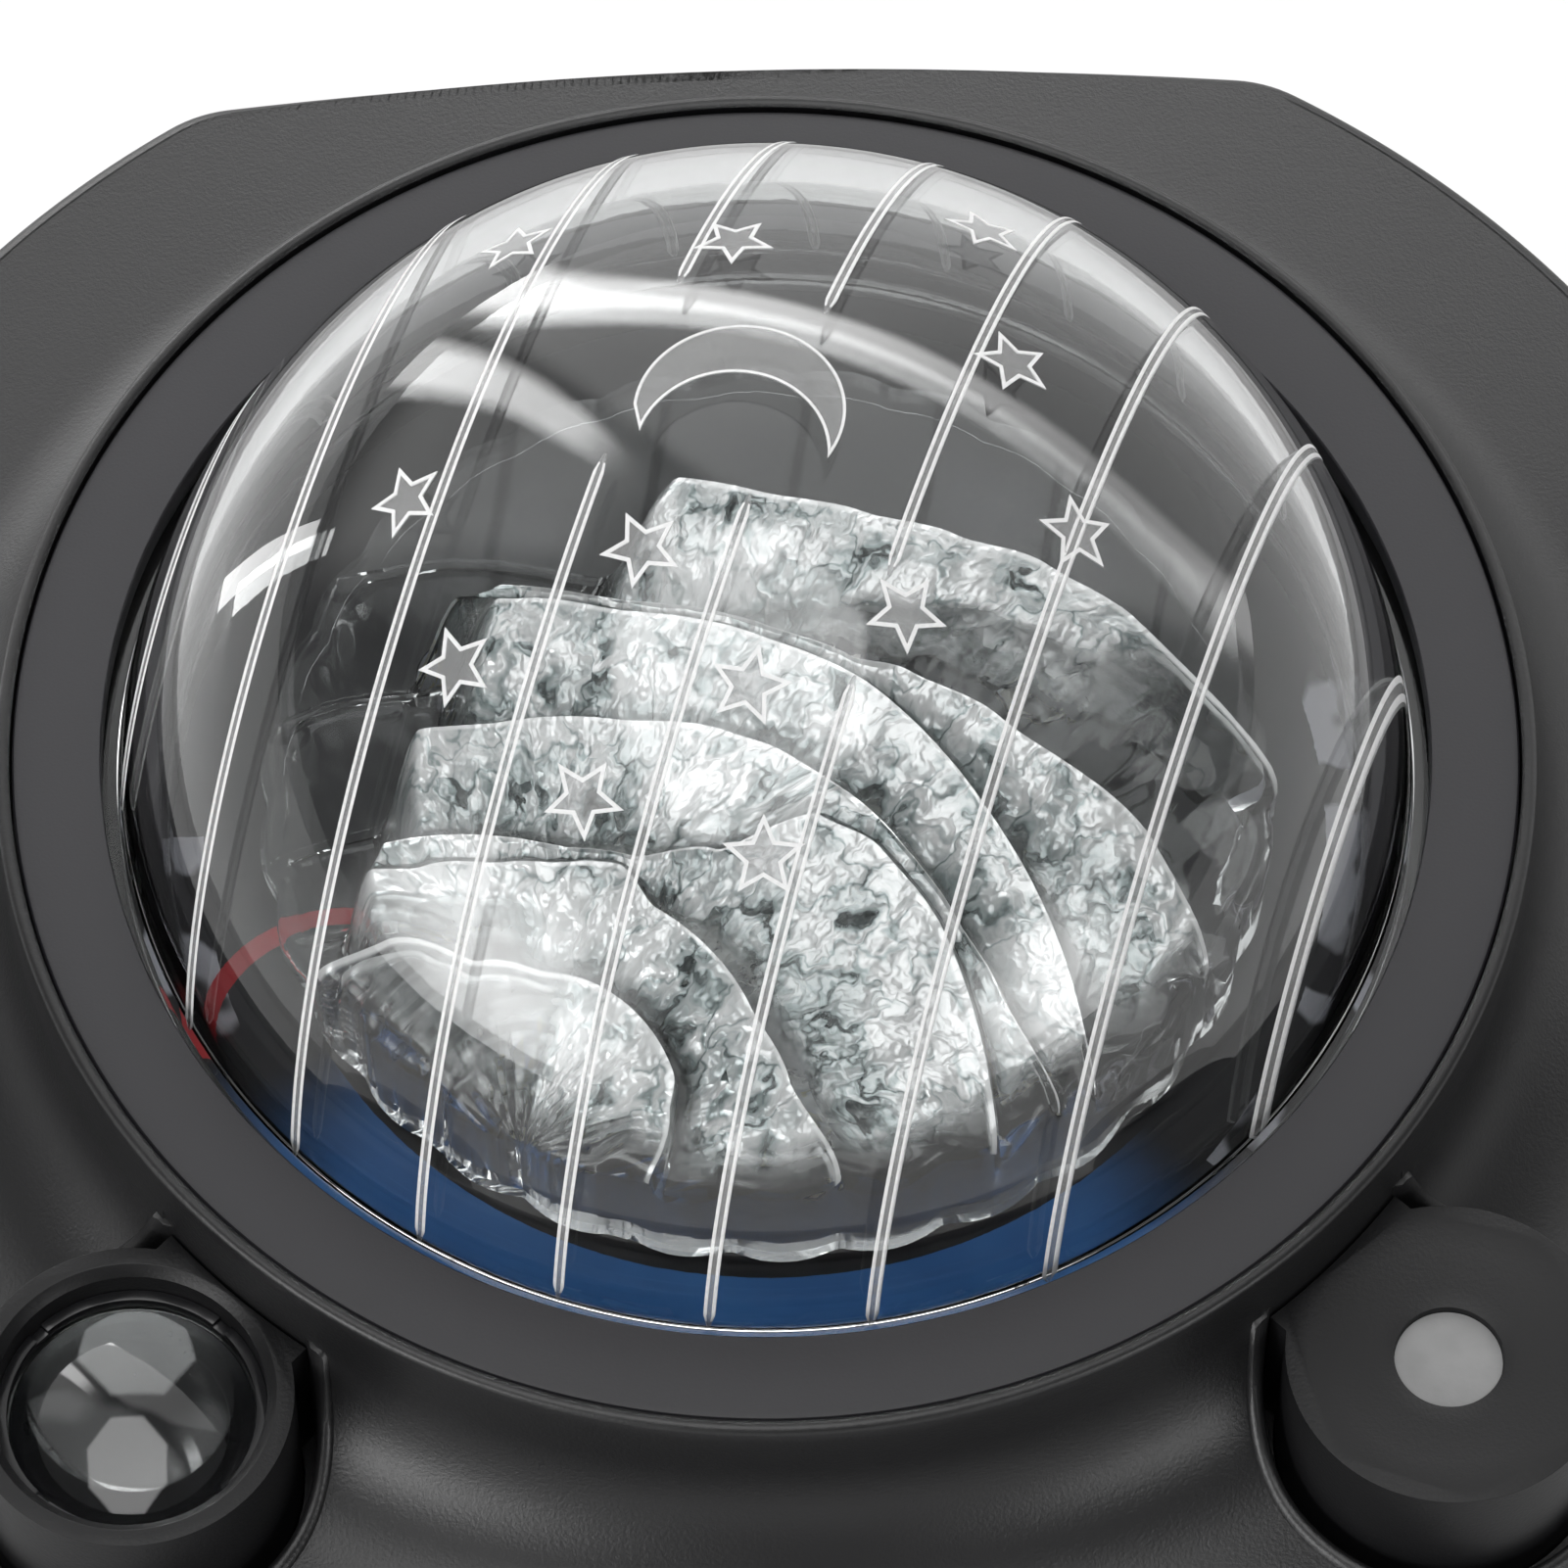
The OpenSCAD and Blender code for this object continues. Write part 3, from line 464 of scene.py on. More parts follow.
def pocket_lip(name, at):
    """The lip of one pocket. Its section's points are (radius, height) or (radius, None, height over the
    case's surface)."""
    section = [(12.25, 47), (12.25, POCKET_Z), (POCKET_R, POCKET_Z), (POCKET_R, None, 0.35),
               (POCKET_R + 0.12, None, 0.6), (POCKET_R + 0.45, None, 0.74), (POCKET_R + 0.85, None, 0.62),
               (POCKET_R + 1.1, None, 0.3), (POCKET_R + 1.3, None, -0.2), (POCKET_R + 1.3, None, -1.5),
               (POCKET_R + 1.3, 47)]
    outward = Vector(at).normalized()
    across = Vector((-outward.y, outward.x))
    steps = 120

    def place(j, i):
        point = section[j % len(section)]
        r = point[0]
        reach = math.acos(max(-1, (LIP_INTO_R ** 2 - BARREL_REACH ** 2 - r ** 2) / (2 * BARREL_REACH * r)))
        angle = (i / steps * 2 - 1) * reach
        here = Vector(at) + (outward * math.cos(angle) + across * math.sin(angle)) * r
        if point[1] is not None:
            return (*here, point[1])
        radius = here.length
        slope = (shell_top(radius + 0.05) - shell_top(radius - 0.05)) / 0.1
        return (*here, min(shell_top(radius) + point[2] * min(3, math.hypot(1, slope)), LIP_TOP_Z))

    return finished(name, rolled(len(section), steps, place), case_plastic, sharp=50)


moon_lip = pocket_lip("moon_pocket_lip", MOON_AT)
star_lip = pocket_lip("star_pocket_lip", STAR_AT)

# %% [markdown]
# ## Parts that keep the frame's shape
# Moulded parts never have knife edges. A copy of a node's mesh is merged, its flat faces are joined, and
# its sharp edges get a small round, so that each edge catches a line of light.

# %% Soften the edges of a copied node
def softened(name, node, material, width):
    bm = bmesh.new()
    bm.from_mesh(frame["nodes"][node].data)
    bmesh.ops.remove_doubles(bm, verts=bm.verts, dist=2e-6)
    bmesh.ops.dissolve_limit(bm, angle_limit=math.radians(0.4), verts=bm.verts, edges=bm.edges,
                             use_dissolve_boundaries=False, delimit=set())
    sharp = [e for e in bm.edges if len(e.link_faces) == 2 and e.calc_face_angle(0) > math.radians(40)]
    bmesh.ops.bevel(bm, geom=sharp, offset=width * MM, offset_type="OFFSET", segments=3, profile=0.5,
                    affect="EDGES", material=-1, clamp_overlap=True)
    return finished(name, bm, material, stands_for=[node])


moon_housing = softened("moon_housing", "moon_barrel", barrel_plastic, 0.45)
star_housing = softened("star_housing", "star_barrel", barrel_plastic, 0.45)
lens_rim = softened("lens_rim", "lens_ring", gloss_black, 0.15)

# %% [markdown]
# ## Bezel ring
# The bezel is a flat ring that drops into the collar and holds the dome down. Its face is a little
# lighter than the case. A spun section gives it a soft outer edge and a crisp inner one.

# %% Turn the bezel
bezel = finished("bezel", turned(
    [(50.0, 69.5), (50.0, 71.35), (50.12, 71.5), (56.2, 71.5), (56.55, 71.4), (56.7, 71.2), (56.72, 69.5)],
    360), bezel_plastic, stands_for=["bezel_ring"])

# %% [markdown]
# ## Clear plastics
# The dome, the rotor and the lens are clear acrylic or glass. The principled shader with full
# transmission refracts and reflects on its own; only a little roughness and a slight tint are added.

# %% Clear materials
def clear(name, tint, roughness, ior):
    return Finish(name, Base_Color=tint, Roughness=roughness, IOR=ior, Transmission_Weight=1.0)


dome_finish = clear("dome_clear", (0.97, 0.985, 0.985), 0.0, 1.49)
dome_clear = dome_finish.grain(dome_finish.noise(0.35, 3.0), 0.012, 0.25).material
lens_glass = clear("lens_glass", (0.95, 0.98, 0.98), 0.0, 1.62).material
print("clear materials:", dome_clear.name, lens_glass.name)

# %% Turn the dome and the lens
DOME_Z, DOME_R, DOME_WALL = 64.0, 48.95, 2.95


def dome_section():
    flange_angle = math.degrees(math.asin((69.5 - DOME_Z) / DOME_R))
    outside = arc(0, DOME_Z, DOME_R, 90, flange_angle + 0.35, 72)
    outside[0] = (0, DOME_Z + DOME_R)
    flange = [(48.75, 69.52), (49.0, 69.48), (55.1, 69.48), (55.28, 69.3), (55.28, 67.7), (55.1, 67.52),
              (48.9, 67.5)]
    foot = [(DOME_R, 64.2), (DOME_R - 0.2, 64.0), (DOME_R - DOME_WALL + 0.2, 64.0)]
    inside = arc(0, DOME_Z, DOME_R - DOME_WALL, 0.3, 90, 72)
    inside[-1] = (0, DOME_Z + DOME_R - DOME_WALL)
    return outside + flange + foot + inside


dome = finished("dome", turned(dome_section(), 288), dome_clear, stands_for=["dome_cover"],
                sharp=40)
LENS_TOP_Z, LENS_RISE, LENS_FACE_R = 63, 3, 9.1
LENS_BALL = (LENS_FACE_R ** 2 + LENS_RISE ** 2) / (2 * LENS_RISE)
lens_edge = math.degrees(math.acos(LENS_FACE_R / LENS_BALL))
lens_face = arc(0, LENS_TOP_Z - LENS_BALL, LENS_BALL, lens_edge, 90, 28)[:-1] + [(0, LENS_TOP_Z)]
lens = finished("lens", turned(
    [(0, 58.52), (9.85, 58.52), (9.97, 58.64), (9.97, 59.9), (9.87, 60.0)] + lens_face, 144, MOON_AT),
    lens_glass, stands_for=["moon_lens"], sharp=40)

# %% [markdown]
# ## Engraving on the dome
# Nine straight grooves, outlined stars and a crescent are cut into the outside of the dome. A cut in clear
# plastic is frosted. Here its two edges are painted whiter and less clear than its greyer floor, as a
# painted highlight for the light that the cut's walls refract. A cut through the dome's mesh would leave
# ragged edges in it, so each mark is a thin frosted sheet, let into the surface: the grooves are sheets
# rolled into flat bars that follow the dome, and the stars and the crescent are outlines that are filled,
# inset and then wrapped onto the sphere.

# %% Frosted finishes
def frosted(name, white, see_through):
    """Rough cut plastic: part milky, part clear."""
    finish = Finish(name, Base_Color=(white, white, white), Roughness=0.45, IOR=1.49)
    clear_share = finish.spread(finish.noise(2.5, 2.0), see_through - 0.12, see_through + 0.12)
    return finish.mixed(clear_share, finish.node("ShaderNodeBsdfTransparent")).material


# The edges' whiter, less clear frost is a painted highlight. The greyer floor is the cut's own frost.
painted_highlight_edge = frosted("painted_highlight_edge", 0.85, 0.25)
cut_floor = frosted("cut_floor", 0.45, 0.7)
print("frosted finishes:", painted_highlight_edge.name, cut_floor.name)

# %% Grooves
GROOVE_TURN = math.radians(-20.3)
GROOVE_STEP, GROOVE_HALF, GROOVE_FOOT = 11.13, 0.42, 7
# Heights of a mark's bright edges, its floor and its root, from the dome's surface
PROUD, BED, ROOT = 0.03, 0.01, -0.15
groove_side = Vector((math.cos(GROOVE_TURN), math.sin(GROOVE_TURN), 0))
groove_back = Vector((-groove_side.y, groove_side.x, 0))
GROOVE_SPANS = {-1: [(7, 73.8), (93.8, 173)], 0: [(7, 74.2), (94.5, 173)], 1: [(7, 97.6), (107, 173)]}


def groove(bm, k, first, last):
    """One bar from angle to angle (degrees from the back, over the top)."""
    lanes = [(-1.0, ROOT), (-1.0, 0.0), (-0.72, PROUD), (-0.45, PROUD), (-0.4, BED), (0.4, BED),
             (0.45, PROUD), (0.72, PROUD), (1.0, 0.0), (1.0, ROOT)]
    steps = max(8, int((last - first) * 1.1))

    def place(j, i):
        across, height = lanes[j % len(lanes)]
        share = i / steps
        taper = min(1, 0.25 + 8 * min(share, 1 - share) * (last - first) / 20)
        u = k * GROOVE_STEP + across * GROOVE_HALF * taper
        angle = math.radians(first + (last - first) * share)
        r = DOME_R + height
        ring = math.sqrt(r * r - u * u)
        return groove_side * u + groove_back * ring * math.cos(angle) + Vector(
            (0, 0, DOME_Z + ring * math.sin(angle)))

    return rolled(len(lanes), steps, place, bm)


grooves_bm = bmesh.new()
for k in range(-4, 5):
    foot = GROOVE_FOOT + (8 if abs(k) == 4 else 0)
    for first, last in GROOVE_SPANS.get(k, [(foot, 180 - foot)]):
        groove(grooves_bm, k, first, last)
for face in grooves_bm.faces:
    middle = face.calc_center_median() / MM - Vector((0, 0, DOME_Z))
    offset = middle.dot(groove_side) / GROOVE_STEP
    face.material_index = int(abs(offset - round(offset)) * GROOVE_STEP < GROOVE_HALF * 0.4)
grooves = finished("dome_grooves", grooves_bm, [painted_highlight_edge, cut_floor], sharp=60)

# %% Stars and crescent
def wrapped(bm, points, at, line):
    """Fills an outline of (a, b) points in mm, insets it by the width of its line and wraps it onto the
    dome at (azimuth, elevation)."""
    azimuth, elevation = (math.radians(a) for a in at)
    normal = Vector((math.cos(azimuth) * math.cos(elevation), math.sin(azimuth) * math.cos(elevation),
                     math.sin(elevation)))
    sideways = Vector((0, 0, 1)).cross(normal).normalized()
    upward = normal.cross(sideways)
    own = bmesh.new()
    face = own.faces.new([own.verts.new(Vector((a, b, 0))) for a, b in points])
    if face.normal.z < 0:
        bmesh.ops.reverse_faces(own, faces=own.faces)
    own.normal_update()
    bmesh.ops.inset_region(own, faces=own.faces, thickness=line, use_even_offset=True, use_boundary=True)
    inner = [f for f in own.faces if len(f.verts) > 4]
    for f in inner:
        f.material_index = 1
    bmesh.ops.triangulate(own, faces=inner)
    long_edges = [e for e in own.edges if e.calc_length() > 1.2]
    bmesh.ops.subdivide_edges(own, edges=long_edges, cuts=2, use_grid_fill=True)
    bmesh.ops.triangulate(own, faces=own.faces)
    edge = {v for f in own.faces if f.material_index == 0 for v in f.verts}
    for v in own.verts:
        v.co.z = PROUD if v in edge else BED
    skin = bmesh.ops.extrude_face_region(own, geom=list(own.faces))
    for v in skin["geom"]:
        if isinstance(v, bmesh.types.BMVert):
            v.co.z = ROOT
    bmesh.ops.recalc_face_normals(own, faces=own.faces)
    for v in own.verts:
        direction = (normal + (sideways * v.co.x + upward * v.co.y) / DOME_R).normalized()
        v.co = (direction * (DOME_R + v.co.z) + Vector((0, 0, DOME_Z))) * MM
    return joined(bm, own)


def star_points(size, turn):
    """Ten corners of a five-pointed star, turned by an angle in degrees."""
    corners = [(size * (0.46 if k % 2 else 1), math.radians(turn + 36 * k)) for k in range(10)]
    return [(r * math.cos(a), r * math.sin(a)) for r, a in corners]


# Place on the dome and turn of each star
STARS = [((125.4, 51.4), 90), ((94.4, 64.7), 80), ((55.5, 52.3), 100), ((27.6, 65.2), 60),
         ((177.2, 57.9), 50), ((-142.4, 76.3), 90), ((-11.5, 62.6), 20), ((-52.7, 71.5), 90),
         ((-150.7, 57.9), 90), ((-96.2, 68.9), 80), ((-120.7, 56.2), 80), ((-92.6, 54.7), 90)]
STAR_R, STAR_LINE, MOON_LINE = 3.1, 0.3, 0.22
marks_bm = bmesh.new()
for at, turn in STARS:
    wrapped(marks_bm, star_points(STAR_R, turn), at, STAR_LINE)
print("stars", len(STARS))


def through(a, b, c, count):
    """Points of the arc from a to c by way of b."""
    (ax, ay), (bx, by), (cx, cy) = a, b, c
    aa, bb, cc = (x * x + y * y for x, y in (a, b, c))
    d = 2 * (ax * (by - cy) + bx * (cy - ay) + cx * (ay - by))
    ux = (aa * (by - cy) + bb * (cy - ay) + cc * (ay - by)) / d
    uy = (aa * (cx - bx) + bb * (ax - cx) + cc * (bx - ax)) / d
    start, middle, end = (math.atan2(y - uy, x - ux) for x, y in (a, b, c))
    sweep = (end - start) % math.tau
    if (middle - start) % math.tau > sweep:
        sweep -= math.tau
    r = math.hypot(ax - ux, ay - uy)
    return [(ux + r * math.cos(start + sweep * k / count), uy + r * math.sin(start + sweep * k / count))
            for k in range(count + 1)]


crescent = (through((7.9, -2.0), (0.9, -6.6), (-4.0, 7.2), 44)
            + through((-4.0, 7.2), (-2.0, -0.7), (8.2, 0.5), 36)[1:])
wrapped(marks_bm, crescent, (105.2, 83.8), MOON_LINE)
print("edge and floor faces:", [sum(f.material_index == i for f in marks_bm.faces) for i in (0, 1)])
marks = finished("dome_marks", marks_bm, [painted_highlight_edge, cut_floor], sharp=60)

# %% [markdown]
# ## Wave rotor
# The rotor is one clear moulding. Its top is a set of curved ripples around a point near the front rim,
# each rising outwards to a crest and dropping steeply behind it, like the petals of a rose. The petals
# are hammered, so they scatter the lamps' light into moving waves. The surface is a grid in polar
# coordinates around that point: its rows follow the crests, so every crest stays a clean line. The edge
# is then pulled down to the rotor's base and closed.

# %% Crests of the ripples
RIPPLE_AT = Vector((-19.4, -34.2))
ROTOR_R, ROTOR_Z, ROTOR_TOP = 38.7, 62.05, 84.0
# Heights of the domed surface and of the flat parts at the rotor's edge
PETAL_RIM_Z, FLAT_Z = 73.6, 63.6
# Each crest, from the centre outwards: its distance from the ripples' centre, at angles in degrees
CRESTS = [
    [(-40, 9), (5, 11.3), (16, 12.1), (54, 11.8), (77, 11.6), (100, 13), (120, 18), (160, 26)],
    [(-40, 27), (-11, 23.9), (7, 20.1), (23, 18.9), (55, 18.4), (66, 20.1), (80, 19.4), (91, 19.7),
     (107, 21.4), (119, 24), (160, 30)],
    [(-40, 36), (23, 34), (35, 33), (43, 31.2), (51, 24.3), (64, 21), (78, 20.6), (160, 31)],
    [(-40, 44), (-1, 40.2), (14, 36.5), (23, 35.3), (35, 34.5), (52, 33.2), (60, 32.4), (74, 30.8),
     (91, 30.7), (107, 32.6), (125, 34), (160, 37)],
    [(-40, 46), (0, 42.2), (14, 41.9), (33, 41.5), (50, 41.6), (62, 40.6), (77, 39.9), (88, 41.2),
     (96, 42.6), (110, 44), (160, 46)],
    [(-40, 56), (4, 53.7), (16, 52.6), (24, 51.8), (39, 46.9), (48, 44.4), (53, 42.6), (62, 41.6),
     (77, 40.8), (96, 43.4), (160, 47)],
    [(-40, 66), (24, 64), (40, 61.5), (47, 59.5), (53, 56.8), (60, 54.5), (68, 53), (82, 52.8), (95, 55),
     (160, 58)],
]
VALLEY = [1.5, 2.2, 1.5, 2.2, 3.0, 3.5, 6.5]


def held(t):
    """A number kept between 0 and 1."""
    return min(1, max(0, t))


def eased(t):
    """A soft step from 0 to 1."""
    t = held(t)
    return t * t * (3 - 2 * t)


def crest_radii(angle):
    """Distances of the crests from the ripples' centre, at an angle in degrees. They never cross."""
    radii = []
    for stops in CRESTS:
        at = next((n for n, (a, _) in enumerate(stops[1:-1]) if angle <= a), len(stops) - 2)
        (a, ra), (b, rb) = stops[at:at + 2]
        share = (angle - a) / (b - a)
        r = ra + (rb - ra) * (0.6 * eased(share) + 0.4 * held(share))
        radii.append(max(r, radii[-1] + 0.7) if radii else r)
    return radii


def envelope(x, y):
    """Height of the highest crests: the rotor is domed."""
    return PETAL_RIM_Z + (ROTOR_TOP - PETAL_RIM_Z - 0.2) * (1 - (x * x + y * y) / 39.0 ** 2)


def hammered(x, y):
    """Shallow dents, one to each unit of x and y, from 0 to 1."""
    distances, _ = noise.voronoi(Vector((x, y, 0.37)))
    return min(1, distances[0] * 1.35)


# Where each petal ends, in degrees around the ripples' centre, and where its hammering begins
PETAL_ENDS = [160, 122, 118, 108, 97, 97, 82]
PETAL_STARTS = [-40, -40, -40, -40, -40, 14, 44]
ANGLES, ROWS_PER_RIPPLE = 400, 17
SHELL, SHELL_DROP = 1.8, 2.2
FAN_MIDDLE, FAN_HALF = 62.8, 88.5
first_angle, last_angle = FAN_MIDDLE - FAN_HALF, FAN_MIDDLE + FAN_HALF
print("ripples", len(CRESTS), "rows", ROWS_PER_RIPPLE * len(CRESTS))


# %% Build the rippled surface
PETAL_MASKS = ("share", "frost", "calm")


def petal_point(k, t, angle, radii, reach):
    """Place in mm, share of the way to the crest, frost, calm, and (along, across) in mm for the
    texture."""
    ray = Vector((math.cos(math.radians(angle)), math.sin(math.radians(angle))))
    along = -RIPPLE_AT.dot(ray)
    half = math.sqrt(max(0, along ** 2 - RIPPLE_AT.length_squared + reach ** 2))
    last = len(CRESTS) - 1
    wanted = (radii[k - 1] + 0.3 if k else 0.5) * (1 - t) + (radii[k] if k <= last else 90) * t
    r = min(max(wanted, along - half), along + half)
    step = k if r == wanted else next((n for n in range(last + 1) if r <= radii[n]), last + 1)
    spot = RIPPLE_AT + ray * r
    if step > last:
        return (*spot, FLAT_Z), 0, 0, 0, (0, 0, 0)
    inner, outer = radii[step - 1] + 0.3 if step else 0.5, radii[step]
    width = outer - inner
    share = held((r - inner) / width)
    flow = (math.radians(angle) * CRESTS[step][2][1], share * width, step * 20)
    rise = eased(share ** 0.8 * 1.06)
    end = eased((PETAL_ENDS[step] + 4 * (1 - share) - angle) / 7)
    start = eased((angle - PETAL_STARTS[step] + 10 * share) / 6)
    calm = 0 if step > 1 else eased((angle - 60 - 15 * step) / 20) * eased((1 - share * step - 0.25) / 0.15)
    z = envelope(*spot) - VALLEY[step] * min(1, width / 6) * (1 - rise)
    z -= 0.45 * hammered(flow[0] / 2.6, flow[1] / 3.8 + step) * eased(min(share, 1 - share) * 6)
    z = FLAT_Z + (z - FLAT_Z) * (0.12 + 0.88 * end)
    z -= 1.2 - math.sqrt(max(0, 1.44 - max(0, 1.2 - reach + spot.length) ** 2))
    from_share = 0.08 if step < last else 0.08 + 0.5 * eased((76 - angle) / 34)
    edge = eased((36.4 - spot.length + 1.3 * noise.noise(Vector((angle / 5, 0, 0.5)))) / 1.2)
    frost = eased((share - from_share) / 0.12) * end * start * edge
    return (*spot, z), share * end, frost, calm, flow


def petal_sheet(bm, reach, angles, per_ripple, drop):
    """One rippled sheet over a disc. The grid's rows follow the ripples and its columns fan out."""
    rows = []
    for k in range(len(CRESTS)):
        rows += [(k, (n / (per_ripple - 1)) ** 0.9) for n in range(per_ripple)]
    rows += [(len(CRESTS), 0.0), (len(CRESTS), 1.0)]
    share_of, frost_of, calm_of = (bm.verts.layers.float[n] for n in PETAL_MASKS)
    flow_of = bm.verts.layers.float_vector["flow"]
    fans = [first_angle + (last_angle - first_angle) * i / angles for i in range(angles + 1)]
    all_radii = [crest_radii(angle) for angle in fans]
    sheet = bmesh.ops.create_grid(bm, x_segments=angles, y_segments=len(rows) - 1, size=1)
    for v in sheet["verts"]:
        k, t = rows[round((v.co.y + 1) / 2 * (len(rows) - 1))]
        i = round((v.co.x + 1) / 2 * angles)
        (x, y, z), v[share_of], v[frost_of], v[calm_of], v[flow_of] = petal_point(
            k, t, fans[i], all_radii[i], reach)
        v.co = Vector((x, y, max(ROTOR_Z + 0.03, z - drop) if drop else z)) * MM


FLUTE_PAIRS, FLUTE_R, FLUTE_SHARE = 15, 34, 0.02


def petal_shell():
    """The rippled top, a plainer underside below it, and a fluted wall down to the rotor's base."""
    bm = bmesh.new()
    for name in PETAL_MASKS:
        bm.verts.layers.float.new(name)
    bm.verts.layers.float_vector.new("flow")
    petal_sheet(bm, ROTOR_R, ANGLES, ROWS_PER_RIPPLE, 0)
    petal_sheet(bm, ROTOR_R - SHELL, ANGLES // 2, 4, SHELL_DROP)
    bmesh.ops.remove_doubles(bm, verts=bm.verts, dist=1e-5)
    walls = bmesh.ops.extrude_edge_only(bm, edges=[e for e in bm.edges if e.is_boundary])
    for v in walls["geom"]:
        if isinstance(v, bmesh.types.BMVert):
            v.co.z = ROTOR_Z * MM
            v[bm.verts.layers.float["share"]] = v[bm.verts.layers.float["frost"]] = 0
    bmesh.ops.remove_doubles(bm, verts=bm.verts, dist=1e-5)
    bmesh.ops.delete(bm, geom=[e for e in bm.edges if e.is_wire], context="EDGES")
    bmesh.ops.triangle_fill(bm, use_beauty=True, use_dissolve=False,
                            edges=[e for e in bm.edges if e.is_boundary])
    for v in bm.verts:
        radius = v.co.xy.length / MM
        if radius > FLUTE_R:
            flute = 1 - abs(math.sin(math.atan2(v.co.y, v.co.x) * FLUTE_PAIRS))
            v.co.xy *= 1 - FLUTE_SHARE * flute * (radius - FLUTE_R) / (ROTOR_R - FLUTE_R)
    bmesh.ops.recalc_face_normals(bm, faces=bm.faces)
    return bm


petals_bm = petal_shell()
print("open edges in the rotor:", sum(not e.is_manifold for e in petals_bm.edges),
      "volume, cm3:", round(petals_bm.calc_volume() / MM ** 3 / 1000, 1))

# %% [markdown]
# ### Hammered acrylic
# Each petal is hammered with long dents that run up to its crest. Its milky colour is graded from dark at
# the foot to light near the crest, as painted shade in the valley, and a painted highlight runs along the
# crest itself. The foot is also left clearer. The material mixes clear acrylic with a glossy milky one. The
# mesh carries four attributes for it: the share of the way up to the crest, how frosted the spot is, where
# the surface stays calm and shows only fine rings, and the distance along and across the petal. Noise bends
# the pattern, so that no two dents are alike.

# %% Finish of the rotor
acrylic = Finish("petal_hammered", Base_Color=(0.97, 0.985, 0.985), Roughness=0.02, IOR=1.36,
                 Transmission_Weight=1.0)
share, frost, calm = (acrylic.node("ShaderNodeAttribute", {"attribute_name": n}, output=2)
                      for n in PETAL_MASKS)
flow = acrylic.node("ShaderNodeAttribute", {"attribute_name": "flow"}, output=1)


def cloud(place, scale=1.0, detail=2.0, roughness=0.5, output=0):
    return acrylic.node("ShaderNodeTexNoise", {}, {
        "Vector": place, "Scale": scale, "Detail": detail, "Roughness": roughness}, output)


waves = (acrylic.axis(flow, "Y") * 2.7).maths("SINE")
bent_flow = acrylic.node("ShaderNodeVectorMath", {"operation": "MULTIPLY_ADD"}, {
    0: cloud(flow, 0.45, output=1), 1: (5, 5, 0), 2: flow})


def stretched(along, across):
    """Texture place on a petal, at that many repeats per mm along it and across it."""
    return acrylic.node("ShaderNodeMapping", {}, {"Vector": bent_flow, "Scale": (along, across, 1)})


def dent(place, output=0, feature="F1"):
    return acrylic.node("ShaderNodeTexVoronoi", {"feature": feature},
                             {"Vector": place, "Scale": 1.0}, output)


long_dents, dent_tone = dent(stretched(0.42, 0.34)), dent(stretched(0.42, 0.34), 1)
rims = dent(stretched(0.22, 0.2), feature="DISTANCE_TO_EDGE")
fine_dents = dent(stretched(1.1, 0.6))
patches, streaks = cloud(stretched(0.16, 0.2)), cloud(stretched(0.45, 1.1), detail=3.0, roughness=0.6)
# Dark dents are the hammering's own pattern. They are gathered more thickly towards each petal's foot as
# painted shade.
dents_and_painted_shade = acrylic.smooth(long_dents, 0.15, 0.55, 1.0, 0.0) * (dent_tone < 0.66 - share * 0.46)
lines = acrylic.smooth(rims, 0.0, 0.06, 1.0, 0.0)
# The tone is painted darker towards each petal's foot and lighter towards its crest, as painted shade in
# the valleys. On the calm parts, dark rings along the ripples are painted shade as well. The patches and
# streaks are the acrylic's own uneven tone.
tone_and_painted_shade = (acrylic.smooth(share, 0.0, 0.55, 0.34, 0.56) + (patches - 0.5) * 1.1 + (streaks - 0.5) * 0.6
         - (dents_and_painted_shade * 0.36 + lines * 0.24) * (1 - calm)
         - calm * (acrylic.smooth(waves, 0.5, 0.95, 0.0, 0.45) + 0.2))
print("petal pattern:", len(acrylic.tree.nodes), "nodes")

# %% Clear and milky plastic mixed
tone = acrylic.node("ShaderNodeValToRGB", {}, {0: tone_and_painted_shade})
stops = tone.socket.node.color_ramp.elements
stops[0].position, stops[0].color = 0.05, (0.05, 0.07, 0.07, 1)
stops[1].position, stops[1].color = 0.62, (0.77, 0.77, 0.77, 1)
middle = stops.new(0.28)
middle.color = (0.30, 0.35, 0.35, 1)
# A painted highlight: each crest is painted near white and made milky.
crest_painted_highlight = acrylic.smooth(share, 0.95, 0.98)
milky = acrylic.node("ShaderNodeBsdfPrincipled", {}, {
    "Roughness": 0.24, "IOR": 1.49, "Metallic": 0.25, "Coat Weight": 0.6, "Coat Roughness": 0.03,
    "Base Color": acrylic.blend(crest_painted_highlight, tone, (0.88, 0.88, 0.88))})
bump = acrylic.node("ShaderNodeBump", {}, {"Strength": 1.0, "Distance": 0.42 * MM, "Height": (
    long_dents + fine_dents * 0.25) * frost * (1 - calm) + waves * calm * 0.22})
acrylic.give(Normal=bump)
acrylic.feed(milky.socket.node.inputs["Normal"], bump)
cover = acrylic.smooth(tone_and_painted_shade, 0.0, 0.3, 0.3, 1.0) * (1 - calm * 0.75)
acrylic.mixed(frost * cover + crest_painted_highlight * 0.8 * (1 - frost * cover), milky)
rotor = finished("petals", petals_bm, acrylic.material, body="rotor",
                 stands_for=["wave_rotor"])

# %% [markdown]
# ## Everything else
# The remaining nodes keep the shape of the frame. Each takes a finish by the slot that the record names for
# it: nylon, plated steel, turned brass, coated boards, rubber. The light tray under the rotor is nearly
# black with a blue sector at the front, and light grey stripes on its sides are painted glints, so its
# colour is a set of zones by distance and angle.

# %% The light tray
tray_finish = Finish("tray", IOR=1.35, Roughness=0.4)
tray_x, tray_y = (tray_finish.axis(tray_finish.place(), a) for a in "XY")
tray_r, tray_angle = length(tray_x, tray_y), tray_y.maths("ARCTAN2", tray_x)
from_front = abs(tray_angle + math.radians(98))
blue_zone = (tray_r > 38.5 * MM) * tray_finish.smooth(from_front, 0.66, 0.95, 1.0, 0.0)
